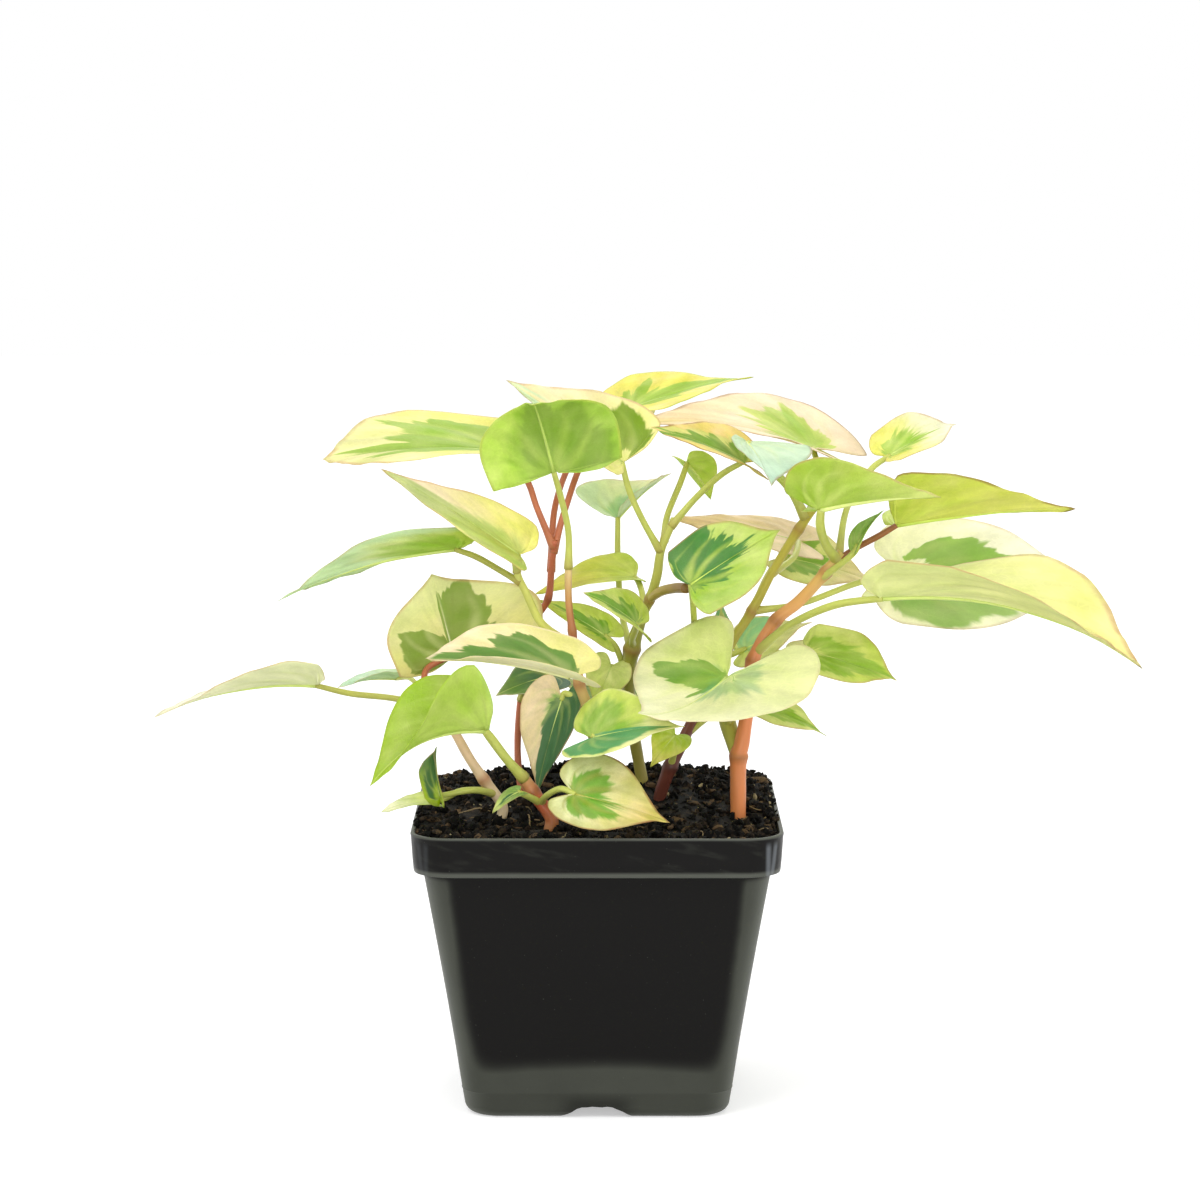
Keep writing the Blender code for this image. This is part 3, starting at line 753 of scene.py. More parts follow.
def catmull(points: Sequence[Sequence[float]], steps: int) -> Rows:
    """A smooth run through points.

    Args:
        points: The points, of any number of parts.
        steps: How many steps each span is cut into.

    Returns:
        The points of the run, one row each.
    """
    held = np.array(points, float)
    held = np.vstack([2 * held[0] - held[1], held, 2 * held[-1] - held[-2]])
    run = []
    for i in range(1, len(held) - 2):
        a, b, c, d = held[i - 1 : i + 3]
        for step in range(steps):
            t = step / steps
            bend = (2 * a - 5 * b + 4 * c - d) * t * t + (3 * b - a - 3 * c + d) * t**3
            run.append(0.5 * (2 * b + (c - a) * t + bend))
    return np.array(run + [held[-2]])


class TubeMesh:
    """Tubes along routes, gathered as points and faces."""

    def __init__(self, sides: int = 14) -> None:
        """Starts with nothing."""
        self.sides = sides
        self.points: list[Vector] = []
        self.faces: list[Face] = []
        self.places: list[Point] = []

    def add(self, route: Rows, rings: Sequence[float] = ()) -> None:
        """Adds a closed tube.

        Args:
            route: Rows of x, y, z and radius in millimetres.
            rings: For each row, how much it belongs to a node, 0 to 1.
        """
        start, count = len(self.points), self.sides
        spine = [Vector(row[:3]) for row in route]
        side = Vector((1.0, 0.0, 0.0))
        lengths = np.linalg.norm(np.diff(route[:, :3], axis=0), axis=1)
        runs = np.concatenate([[0.0], np.cumsum(lengths)]) / max(lengths.sum(), 1e-6)
        for i, centre in enumerate(spine):
            ahead = (spine[min(i + 1, len(spine) - 1)] - spine[max(i - 1, 0)]).normalized()
            side = side - side.dot(ahead) * ahead
            side = side.normalized() if side.length > 1e-4 else ahead.orthogonal().normalized()
            other = ahead.cross(side)
            for k in range(count):
                turn = FULL_TURN * k / count
                reach = float(route[i][3]) * (math.cos(turn) * side + math.sin(turn) * other)
                self.points.append((centre + reach) * MM)
                ring = rings[i] if len(rings) else 0.0
                self.places.append((runs[i], ring, abs(turn / math.pi - 1.0)))
        self.faces += ring_faces(start, len(spine), count)
        top = start + (len(spine) - 1) * count
        self.faces.append(tuple(reversed(range(start, start + count))))
        self.faces.append(tuple(range(top, top + count)))


@dataclass(frozen=True)
class Stem:
    """A stem.

    Attributes:
        name: The solid that it stands for, without its "stem_".
        route: Its route as x, y, z and radius in millimetres, from its foot up.
        colours: Its screen colours, evenly spaced from the foot to the top.
        node_colour: The screen colour of its nodes.
        nodes: Heights of its swollen nodes.
        planted: Whether it grows from the mix, and not from another stem.
        slot: Its material slot.
    """

    name: str
    route: tuple
    colours: tuple[tuple[int, int, int], ...]
    node_colour: tuple[int, int, int]
    nodes: tuple[float, ...]
    planted: bool = True
    slot: Slot = Slot.STEM_OLIVE

    STEPS = 9
    BURIED = 4.0
    SWELL = 0.22
    SWELL_REACH = 1.3
    UNEVEN = 0.06

    @property
    def solid(self) -> str:
        """The name of the solid that it replaces."""
        return "stem_" + self.name

    def run(self) -> Rows:
        """The stem's smooth route, from just under the mix where it is planted."""
        points = list(self.route)
        if self.planted:
            x, y, z, radius = points[0]
            points.insert(0, (x, y, z - self.BURIED, radius))
        return catmull(points, self.STEPS)

    def at_height(self, height: float) -> Rows:
        """The place where the stem reaches a height."""
        run = self.run()
        return run[int(np.argmin(np.abs(run[:, 2] - height))), :3]

    def build(self, seed: float) -> Piece:
        """Builds and dresses the stem.

        Args:
            seed: Moves its noise.

        Returns:
            The piece.
        """
        run = self.run()
        rings = np.zeros(len(run))
        for node in self.nodes:
            rings = np.maximum(rings, np.exp(-(((run[:, 2] - node) / self.SWELL_REACH) ** 2)))
        wander = [noise.noise(Vector((row[2] * 0.21, seed, 0.0))) for row in run]
        run[:, 3] *= 1.0 + self.SWELL * rings + self.UNEVEN * np.array(wander)
        tube = TubeMesh()
        tube.add(run, rings)
        skin = StemSkin(tuple(screen(*colour) for colour in self.colours), screen(*self.node_colour))
        material = skin.material(f"{self.solid}_skin", seed)
        piece = mesh_piece(f"{self.solid}_dressed", tube.points, tube.faces, [material])
        set_attribute(piece, "stem_place", tube.places)
        return piece


def set_attribute(piece: Piece, name: str, values: Rows) -> None:
    """Stores one vector for each vertex."""
    made = piece.data.attributes.new(name, "FLOAT_VECTOR", "POINT")
    made.data.foreach_set("vector", np.asarray(values, np.float32).reshape(-1))


# Half of a heart-shaped blade from tip to notch, as shares of its length: along and across.
HALF_OUTLINE = ((1.00, 0.00), (0.84, 0.07), (0.66, 0.20), (0.40, 0.40), (0.12, 0.49), (-0.14, 0.40),
                (-0.23, 0.20), (-0.06, 0.03))
WIDEST = 0.49
PLAIN = LeafSkin(patches=(Patch(LIGHT_GREEN, (0.3, 0.6, 0.6, 0.6, 0.3)),))


@dataclass(frozen=True)
class Leaf:
    """A leaf: where its petiole leaves a stem, how it runs, and how its blade lies.

    Attributes:
        name: The solid that it stands for, without its "leaf_".
        stem: The stem that carries it.
        height: Where on that stem its petiole starts.
        bends: Points that the petiole passes.
        base: Where the petiole meets the blade.
        tip: The blade's tip.
        face: The way that its upper side looks.
        halves: Its widths left and right of the midrib.
        fold: How far both halves rise at the base and at the tip, in degrees.
        curl: How much more they rise at the margin.
        arch: How far the midrib bows up.
        twist: How far the tip turns about the midrib, in degrees.
        wave: How far the margin waves.
        lobe: How large the lobes beside the petiole are.
        blunt: How far the widest part lies towards the tip.
        petiole: The petiole's radius.
        skin: The blade's finish.
        slot: Its material slot.
    """

    name: str
    stem: str
    height: float
    bends: tuple
    base: Point
    tip: Point
    face: Point
    halves: tuple[float, float]
    fold: tuple[float, float] = (15.0, 8.0)
    curl: float = 0.0
    arch: float = 1.0
    twist: float = 0.0
    wave: float = 0.6
    lobe: float = 1.0
    blunt: float = 0.0
    petiole: float = 0.9
    skin: LeafSkin = PLAIN
    slot: Slot = Slot.LEAF_VARIEGATED

    AROUND = 84
    OUTWARDS = 15
    ROW_CROWDING = 0.85
    OUTLINE_STEPS = 12
    THICKNESS = 0.34
    MARGIN_TAPER = 0.6
    PUFF = 0.28
    RIPPLE = 0.22
    RIPPLES = (31.0, 53.0)
    CRINKLE = 0.30
    RELIEF_LENGTH = 50.0
    WAVES = 9.0
    CREASE = 14.0
    MIDRIB_HALF = 0.03
    VEIN_HALF = 0.035
    PETIOLE_STEPS = 8
    PETIOLE_ENDS = (1.15, 0.85)
    PETIOLE_SWELL = 0.25
    RIB_STEPS = 14
    RIB_REACH = 0.82
    RIB_SHARE = 0.46
    RIB_SUNK = 0.45

    @property
    def solid(self) -> str:
        """The name of the solid that it replaces."""
        return "leaf_" + self.name

    def axes(self) -> tuple[float, Rows, Rows, Rows]:
        """The blade's length and its axes: along the midrib, to its right and up from its face."""
        reach = Vector(self.tip) - Vector(self.base)
        forward = reach.normalized()
        up = Vector(self.face)
        up = (up - up.dot(forward) * forward).normalized()
        return reach.length, np.array(forward), np.array(forward.cross(up)), np.array(up)

    def flat(self, around: Rows, outwards: Rows) -> tuple[Rows, Rows]:
        """Where points of the blade lie in its flat outline.

        Args:
            around: From -1 at the left of the notch over 0 at the tip to 1 at its right.
            outwards: 0 at the petiole to 1 at the margin.

        Returns:
            Shares of the length along the midrib and across it, both positive to the right.
        """
        fine = catmull(HALF_OUTLINE, self.OUTLINE_STEPS)
        places, rows = np.abs(around) * (len(fine) - 1), np.arange(len(fine))
        along = np.interp(places, rows, fine[:, 0])
        across = np.interp(places, rows, fine[:, 1]).clip(0.0)
        ahead = np.sign(along) * np.abs(along) ** (1.0 - self.blunt * (along > 0))
        along = np.where(along < 0, along * self.lobe, ahead)
        return along * outwards, across * outwards * np.sign(around)

    def surface(self, around: Rows, outwards: Rows, seed: float) -> Rows:
        """Points of the blade in millimetres, one row each.

        Args:
            around: As in flat.
            outwards: As in flat.
            seed: Moves the fine unevenness.

        Returns:
            The points.
        """
        length, forward, right, up = self.axes()
        along, across = self.flat(around, outwards)
        edge, share = np.abs(across) / WIDEST, along.clip(0.0, 1.0)
        half = np.where(around < 0, *self.halves) * edge
        rise = self.fold[0] + (self.fold[1] - self.fold[0]) * share + self.curl * edge
        rise = np.radians(rise) * (1.0 - np.exp(-edge * self.CREASE))
        flat, lift = np.sign(around) * half * np.cos(rise), half * np.sin(rise)
        turn = math.radians(self.twist) * share
        cos, sin = np.cos(turn), np.sin(turn)
        flat, lift = flat * cos - lift * sin, flat * sin + lift * cos
        lift = lift + self.arch * 4.0 * along * (1.0 - along)
        lift = lift + self.wave * np.sin(self.WAVES * around) * outwards**2
        slow = [noise.noise(Vector((3.1 * a, 3.6 * c, seed * 1.7))) for a, c in zip(along, across)]
        slow = self.CRINKLE * np.array(slow) * (0.3 + outwards)
        relief = self._fine_relief(around, outwards, seed) + slow
        lift = lift + relief * length / self.RELIEF_LENGTH
        spread = np.outer(along * length, forward) + np.outer(flat, right) + np.outer(lift, up)
        return np.array(self.base) + spread

    def _fine_relief(self, around: Rows, outwards: Rows, seed: float) -> Rows:
        """The puffed panels between veins and the rippled margin."""
        bent = np.abs(around) / (1.0 - VEIN_SPREAD * outwards**2)
        sunk = np.exp(-((np.abs(around) * outwards / self.MIDRIB_HALF) ** 2))
        for vein in SIDE_VEINS:
            sunk = np.maximum(sunk, np.exp(-(((bent - vein) * outwards / self.VEIN_HALF) ** 2)))
        body = (outwards * (1.15 - outwards)).clip(0.0) * 3.2
        slow, fast = self.RIPPLES
        ripple = np.sin(around * slow + seed) + 0.6 * np.sin(around * fast + 2.0 * seed)
        return self.PUFF * (1.0 - sunk) * body + self.RIPPLE * ripple * outwards**6

    def petiole_run(self, stems: dict[str, Stem]) -> Rows:
        """The petiole's smooth route, from inside its stem to under the midrib."""
        root = stems[self.stem].at_height(self.height)
        foot, top = self.PETIOLE_ENDS
        points = [(*root, foot * self.petiole)]
        points += [(*bend, self.petiole) for bend in self.bends]
        points.append((*self.base, top * self.petiole))
        return catmull(points, self.PETIOLE_STEPS)

    def rib_run(self, seed: float) -> Rows:
        """The midrib's raised back, from the petiole to a fine end."""
        shares = np.linspace(0.0, self.RIB_REACH, self.RIB_STEPS)
        middle = self.surface(np.zeros(len(shares)), shares, seed)
        thick = self.RIB_SHARE * self.petiole * (1.0 - shares / self.RIB_REACH) ** 0.8 + 0.1
        return np.column_stack([middle - np.outer(self.RIB_SUNK * thick, self.axes()[3]), thick])

    def build(self, stems: dict[str, Stem], seed: float) -> Piece:
        """Builds and dresses the leaf.

        Args:
            stems: The stems by name.
            seed: Moves its unevenness and its colours.

        Returns:
            The piece.
        """
        points, faces, finish, places, planes = self._blade(seed)
        tube = TubeMesh()
        petiole = self.petiole_run(stems)
        rings = np.exp(-((np.arange(len(petiole)) / 2.5) ** 2))
        petiole[:, 3] *= 1.0 + self.PETIOLE_SWELL * rings
        tube.add(petiole, rings * 0.5)
        petiole_faces = len(tube.faces)
        tube.add(self.rib_run(seed))
        first = len(points)
        faces += [tuple(first + i for i in face) for face in tube.faces]
        finish += [2] * petiole_faces + [3] * (len(tube.faces) - petiole_faces)
        blank = np.zeros((len(tube.points), 3))
        materials = [
            self.skin.material(f"{self.solid}_upper", seed, False),
            self.skin.material(f"{self.solid}_lower", seed, True),
            StemSkin((self.skin.petiole,)).material(f"{self.solid}_petiole", seed),
            StemSkin((self.skin.vein_colour,)).material(f"{self.solid}_rib", seed),
        ]
        points = np.vstack([points * MM, np.array(tube.points)])
        piece = mesh_piece(self.name + "_leaf", points, faces, materials, finish)
        set_attribute(piece, "leaf_place", np.vstack([places, blank]))
        set_attribute(piece, "leaf_plane", np.vstack([planes, blank]))
        set_attribute(piece, "stem_place", np.vstack([np.zeros((first, 3)), np.array(tube.places)]))
        return piece

    def _blade(self, seed: float) -> tuple:
        """The closed blade: an upper and a lower sheet that meet in a thin margin."""
        columns = np.linspace(-1.0, 1.0, self.AROUND + 1)
        rows = np.linspace(0.0, 1.0, self.OUTWARDS + 1)[1:] ** self.ROW_CROWDING
        around = np.concatenate([[0.0], np.tile(columns, len(rows))])
        outwards = np.concatenate([[0.0], np.repeat(rows, len(columns))])
        middle = self.surface(around, outwards, seed)
        normal = self._normals(middle, len(rows), len(columns))
        taper = (1.0 - self.MARGIN_TAPER * outwards**8)[:, None] * 0.5 * self.THICKNESS
        points = np.vstack([middle + normal * taper, middle - normal * taper])
        blank = np.zeros(len(around))
        places = np.column_stack([around, outwards, blank])
        planes = np.column_stack([*self.flat(around, outwards), blank])
        faces, finish = self._blade_faces(len(rows), len(columns))
        return points, faces, finish, np.vstack([places, places]), np.vstack([planes, planes])

    @staticmethod
    def _normals(middle: Rows, rows: int, columns: int) -> Rows:
        """The blade's upward normal at each point of its grid."""
        grid = middle[1:].reshape(rows, columns, 3)
        whole = np.concatenate([np.repeat(middle[None, :1], columns, 1), grid], 0)
        normal = np.cross(np.gradient(whole, axis=1), np.gradient(whole, axis=0))[1:]
        normal /= np.maximum(np.linalg.norm(normal, axis=2, keepdims=True), 1e-9)
        first = normal[0].mean(0)
        first /= max(np.linalg.norm(first), 1e-9)
        return np.vstack([first[None, :], normal.reshape(-1, 3)])

    @staticmethod
    def _blade_faces(rows: int, columns: int) -> tuple[list, list]:
        """Faces of the upper sheet, the lower sheet and the margin, with their finish."""
        count = 1 + rows * columns
        faces: list[Face] = []
        finish: list[int] = []

        def vertex(row: int, column: int) -> int:
            """The number of a grid vertex; row -1 is the petiole end."""
            return 0 if row < 0 else 1 + row * columns + column

        for row in range(-1, rows - 1):
            for column in range(columns - 1):
                a, b = vertex(row, column), vertex(row, column + 1)
                c, d = vertex(row + 1, column + 1), vertex(row + 1, column)
                upper = (a, b, c, d) if row >= 0 else (a, c, d)
                faces += [upper, tuple(count + i for i in reversed(upper))]
                finish += [0, 1]
        border = [vertex(row, 0) for row in range(-1, rows)]
        border += [vertex(rows - 1, column) for column in range(1, columns)]
        border += [vertex(row, columns - 1) for row in range(rows - 2, -1, -1)]
        faces += [(a, b, count + b, count + a) for a, b in zip(border, border[1:] + border[:1])]
        return faces, finish + [0] * len(border)


def rounded_square(width: float, corner: float, steps: int) -> list[tuple[float, float]]:
    """A square ring with round corners.

    Args:
        width: Its full width.
        corner: Its corners' radius.
        steps: How many steps each corner is cut into.

    Returns:
        Its points, counter-clockwise.
    """
    centre = 0.5 * width - corner
    ring = []
    for quarter in range(4):
        cx = centre * (1 if quarter in (0, 3) else -1)
        cy = centre * (1 if quarter in (0, 1) else -1)
        for step in range(steps + 1):
            turn = QUARTER * quarter + QUARTER * step / steps
            ring.append((cx + corner * math.cos(turn), cy + corner * math.sin(turn)))
    return ring


@dataclass
class NurseryPot:
    """A tapered square nursery pot with a rim band and a drain channel under each side."""

    rim_top: float = 82.5
    rim_bottom: float = 71.2
    rim_width: float = 103.6
    rim_flare: float = 1.6
    rim_corner: float = 11.0
    body_top_width: float = 96.8
    body_bottom_width: float = 74.0
    body_corner: float = 9.5
    foot_round: float = 2.6
    wall: float = 1.0
    inside_floor: float = 40.0
    corner_steps: int = 10
    drain_low: float = 24.0
    drain_top: float = 9.0
    drain_height: float = 3.4
    drain_depth: float = 13.0
    drain_steps: int = 16
    stack_ridge: float = 7.2
    ridge_out: float = 0.22
    bow: float = 0.5
    smooth_below: float = 38.0

    def _profile(self) -> list[tuple[float, float, float]]:
        """The wall's profile as height, width and corner, up the outside and down the inside."""
        low, top, foot = self.body_bottom_width, self.body_top_width, self.foot_round
        bottom, brim, corner, round_ = self.rim_bottom, self.rim_top, self.rim_corner, self.body_corner
        rim, ridge, slope = self.rim_width, self.stack_ridge, (top - low) / bottom
        band, inner, inside = rim - self.rim_flare, rim - 2.0 * self.wall, self.inside_floor
        rows = [(0.0, low - 2.0 * foot, round_ - foot)]
        for step in range(1, 6):
            turn = QUARTER * step / 5
            inset, height = foot * (1.0 - math.sin(turn)), foot * (1.0 - math.cos(turn))
            rows.append((height, low - 2.0 * inset + slope * height, round_ - inset))
        for height, out in ((ridge - 0.35, 0.0), (ridge, self.ridge_out), (ridge + 0.35, 0.0)):
            rows.append((height, low + slope * height + out, round_))
        for height in (20.0, 35.0, 50.0, 62.0):
            bow = self.bow * math.sin(math.pi * height / bottom)
            rows.append((height, low + slope * height - bow, round_ + 0.2))
        return rows + [
            (bottom - 0.7, top - 0.2, round_ + 0.5),
            (bottom - 0.15, top + 0.3, round_ + 0.6),
            (bottom, band - 1.4, corner - 0.6),
            (bottom + 0.15, band - 0.4, corner - 0.2),
            (bottom + 0.7, band, corner),
            (bottom + 4.0, band + 0.35 * self.rim_flare, corner),
            (brim - 1.2, rim - 0.3, corner),
            (brim - 0.5, rim, corner),
            (brim - 0.12, rim - 0.3, corner - 0.1),
            (brim, rim - 0.9, corner - 0.4),
            (brim - 0.12, inner - 0.2, corner - 0.8),
            (brim - 0.6, inner - 0.6, corner - 1.0),
            (bottom + 1.2, band - 2.4 * self.wall, corner - 1.2),
            (bottom, top - 2.0 * self.wall, round_ - 0.8),
            (inside, low + slope * inside - 2.0 * self.wall, round_ - 0.8),
        ]

    def _shell(self, material: Material) -> Piece:
        """The pot before its drain channels are cut."""
        points, rows = [], self._profile()
        for height, width, corner in rows:
            ring = rounded_square(width, corner, self.corner_steps)
            points += [(x * MM, y * MM, height * MM) for x, y in ring]
        count = len(points) // len(rows)
        faces = [tuple(reversed(range(count))), *ring_faces(0, len(rows), count)]
        faces.append(tuple(range(len(points) - count, len(points))))
        return mesh_piece("nursery_pot", points, faces, [material])

    def _channel(self, turn: int) -> Piece:
        """The space of one drain channel, an arch with soft shoulders."""
        outline = []
        flat = 0.8 * self.drain_top / self.drain_low
        for step in range(self.drain_steps + 1):
            x = self.drain_low * (0.5 - step / self.drain_steps)
            share = abs(x) / (0.5 * self.drain_low)
            fall = min(max((share - flat) / (1.0 - flat), 0.0), 1.0)
            height = self.drain_height * (1.0 - fall * fall * (3.0 - 2.0 * fall))
            outline.append((x, height + 0.12 * math.sin(7.0 * x)))
        outline += [(x * (0.5 * self.drain_low + 0.5), -2.0) for x in (-1, 1)]
        face = -0.5 * self.body_bottom_width
        near, far = (face - 6.0) * MM, (face + self.drain_depth) * MM
        points = [(x * MM, near, z * MM) for x, z in outline]
        points += [(x * MM * 0.8, far, z * MM * 0.8) for x, z in outline]
        count = len(outline)
        faces = [tuple(range(count)), tuple(reversed(range(count, 2 * count)))]
        cutter = mesh_piece(f"drain_channel_{turn}", points, faces + ring_faces(0, 2, count, True), [])
        cutter.data.transform(Matrix.Rotation(QUARTER * turn, 4, "Z"))
        shape = bmesh.new()
        shape.from_mesh(cutter.data)
        bmesh.ops.recalc_face_normals(shape, faces=list(shape.faces))
        shape.to_mesh(cutter.data)
        shape.free()
        return cutter

    def build(self) -> Piece:
        """Builds and dresses the pot.

        Returns:
            The piece.
        """
        pot = self._shell(PotPlastic().material("black_moulded_plastic"))
        cutters = [self._channel(turn) for turn in range(4)]
        for cutter in cutters:
            cut = pot.modifiers.new(cutter.name, "BOOLEAN")
            cut.operation, cut.solver, cut.object = "DIFFERENCE", "EXACT", cutter
        graph = bpy.context.evaluated_depsgraph_get()
        data = bpy.data.meshes.new_from_object(pot.evaluated_get(graph))
        pot.modifiers.clear()
        pot.data = data
        for cutter in cutters:
            bpy.data.objects.remove(cutter)
        data.polygons.foreach_set("use_smooth", [True] * len(data.polygons))
        data.set_sharp_from_angle(angle=math.radians(self.smooth_below))
        return pot


@dataclass
class MixBed:
    """The potting mix: a lumpy bed, and crumbs, bark chips and fibres that lie on it."""

    edge: float = 80.6
    mound: float = 7.0
    peak: tuple[float, float] = (6.0, 26.0)
    spread: tuple[float, float] = (56.0, 28.0)
    lump: float = 0.7
    unevenness: float = 0.9
    inside: float = 101.0
    corner: float = 9.6
    underside: float = 73.0
    rim_top: float = 82.4
    crumbs: int = 3400
    crumb_sizes: tuple[float, float] = (0.35, 1.7)
    chips: int = 260
    chip_sizes: tuple[float, float] = (0.6, 1.6)
    grit: int = 110
    grit_sizes: tuple[float, float] = (0.3, 0.85)
    fibres: int = 30
    fibre_sizes: tuple[float, float] = (0.10, 0.24)
    fibre_lengths: tuple[float, float] = (3.0, 11.0)
    spilt: int = 170
    spilt_run: tuple[float, float] = (-34.0, 40.0)
    seed: int = 11

    CORNER_STEPS = 32
    RINGS = 46

    def _height(self, x: float, y: float) -> float:
        """Height of the bed, in millimetres: a slow mound, and the unevenness of loose mix."""
        away = ((x - self.peak[0]) / self.spread[0]) ** 2 + ((y - self.peak[1]) / self.spread[1]) ** 2
        lumps = math.sin(0.31 * x + 0.8) * math.cos(0.27 * y) + 0.5 * math.sin(0.55 * (x + y))
        slow = self.edge + self.mound * math.exp(-away) + self.lump * lumps
        return slow + self.unevenness * noise.fractal(Vector((x * 0.16, y * 0.16, 3.0)), 0.8, 2.1, 5)

    def _inside_at(self, x: float, y: float, margin: float) -> bool:
        """Whether a place lies inside the rim by at least margin."""
        straight = 0.5 * self.inside - margin - self.corner
        return math.hypot(max(abs(x) - straight, 0.0), max(abs(y) - straight, 0.0)) <= self.corner

    def _bed(self, material: Material) -> Piece:
        """The bed as one closed lump."""
        outline = rounded_square(self.inside, self.corner, self.CORNER_STEPS)
        count, points = len(outline), [(0.0, 0.0, self._height(0.0, 0.0) * MM)]
        for share in (ring / self.RINGS for ring in range(1, self.RINGS + 1)):
            for x, y in ((x * share, y * share) for x, y in outline):
                points.append((x * MM, y * MM, self._height(x, y) * MM))
        points += [(x * 0.97 * MM, y * 0.97 * MM, self.underside * MM) for x, y in outline]
        faces = [(0, 1 + k, 1 + (k + 1) % count) for k in range(count)]
        faces += ring_faces(1, self.RINGS + 1, count, True)
        faces.append(tuple(reversed(range(len(points) - count, len(points)))))
        return mesh_piece("potting_mix_bed", points, faces, [material])

    def _crumbs(self, name: str, count: int, sizes: tuple[float, float], stretch: float,
                material: Material, seed: int) -> Piece:
        """Scatters small closed lumps over the bed.

        Args:
            name: The piece's name.
            count: How many lumps.
            sizes: Their smallest and largest radius in millimetres.
            stretch: How much longer than thick they are.
            material: Their material.
            seed: Starts the random draws.

        Returns:
            The piece.
        """
        draw, shape = random.Random(seed), bmesh.new()
        while count:
            x, y = (draw.uniform(-0.5, 0.5) * self.inside for _ in "xy")
            radius = sizes[0] + (sizes[1] - sizes[0]) * draw.random() ** 2.6
            if not self._inside_at(x, y, 0.4 + 0.5 * radius):
                continue
            count -= 1
            z = self._height(x, y) + 0.15 + radius * draw.uniform(-0.1, 0.5)
            turn = Euler([draw.uniform(0.0, FULL_TURN) for _ in "xyz"])
            flat = Euler((draw.uniform(-0.4, 0.4), draw.uniform(-0.4, 0.4), turn.z))
            spin = (flat if stretch > 1.5 else turn).to_matrix()
            long, wide = stretch * draw.uniform(0.7, 1.3), draw.uniform(0.7, 1.2)
            centre = Vector((x, y, z)) * MM
            for vertex in add_lump(shape, centre, spin, (long, wide, draw.uniform(0.45, 0.9)), radius):
                push = 1.0 + 0.35 * draw.uniform(-1.0, 1.0)
                vertex.co = centre + (vertex.co - centre) * push
        return lumps_piece(name, shape, material)

    def _spill(self, material: Material) -> Piece:
        """Heaps crumbs on the rim's sides and back, where the mix has spilt over it.

        Args:
            material: Their material.

        Returns:
            The piece.
        """
        draw, shape, left = random.Random(self.seed + 9), bmesh.new(), self.spilt
        while left:
            run = draw.uniform(*self.spilt_run)
            out = 0.5 * self.inside + draw.uniform(-1.6, 0.7)
            x, y = draw.choice(((out, run), (-out, run), (run, out)))
            if noise.noise(Vector((x * 0.12, y * 0.12, 9.0))) < draw.uniform(-0.25, 0.35):
                continue
            left -= 1
            radius = 0.35 + 0.85 * draw.random() ** 2.0
            centre = Vector((x, y, self.rim_top + radius * draw.uniform(0.1, 0.6))) * MM
            turn = Euler([draw.uniform(0.0, FULL_TURN) for _ in "xyz"]).to_matrix()
            add_lump(shape, centre, turn, (draw.uniform(0.9, 1.7), 0.9, 0.7), radius)
        return lumps_piece("spilt_crumbs", shape, material)

    def _fibres(self, material: Material) -> Piece:
        """Lays thin curved fibres over the bed.

        Args:
            material: Their material.

        Returns:
            The piece.
        """
        draw, tube, left = random.Random(self.seed + 5), TubeMesh(5), self.fibres
        while left:
            x, y = (draw.uniform(-0.48, 0.48) * self.inside for _ in "xy")
            turn, length = draw.uniform(0.0, FULL_TURN), draw.uniform(*self.fibre_lengths)
            radius = draw.uniform(*self.fibre_sizes)
            points = []
            for step in range(4):
                turn += draw.uniform(-0.5, 0.5)
                lift = 0.5 + draw.uniform(0.0, 1.1) * math.sin(math.pi * step / 3)
                points.append((x, y, self._height(x, y) + lift, radius))
                x += math.cos(turn) * length / 3
                y += math.sin(turn) * length / 3
            if all(self._inside_at(p[0], p[1], 0.8) for p in points):
                left -= 1
                tube.add(catmull(points, 3))
        return mesh_piece("potting_mix_fibres", tube.points, tube.faces, [material])

    def build(self) -> list[Piece]:
        """Builds and dresses the mix.

        Returns:
            Its pieces.
        """
        peat = MixCrumb().material("peat")
        bark = MixCrumb(screen(30, 24, 18), screen(98, 78, 56), 0.42).material("bark")
        straw = MixCrumb(screen(52, 42, 30), screen(150, 130, 98), 0.45).material("straw")
        grit = MixCrumb(screen(110, 98, 72), screen(165, 150, 115), 0.6).material("grit")
        return [
            self._bed(peat),
            self._spill(peat),
            self._crumbs("peat_crumbs", self.crumbs, self.crumb_sizes, 1.2, peat, self.seed),
            self._crumbs("bark_chips", self.chips, self.chip_sizes, 2.4, bark, self.seed + 1),
            self._crumbs("pale_grit", self.grit, self.grit_sizes, 1.4, grit, self.seed + 2),
            self._fibres(straw),
        ]


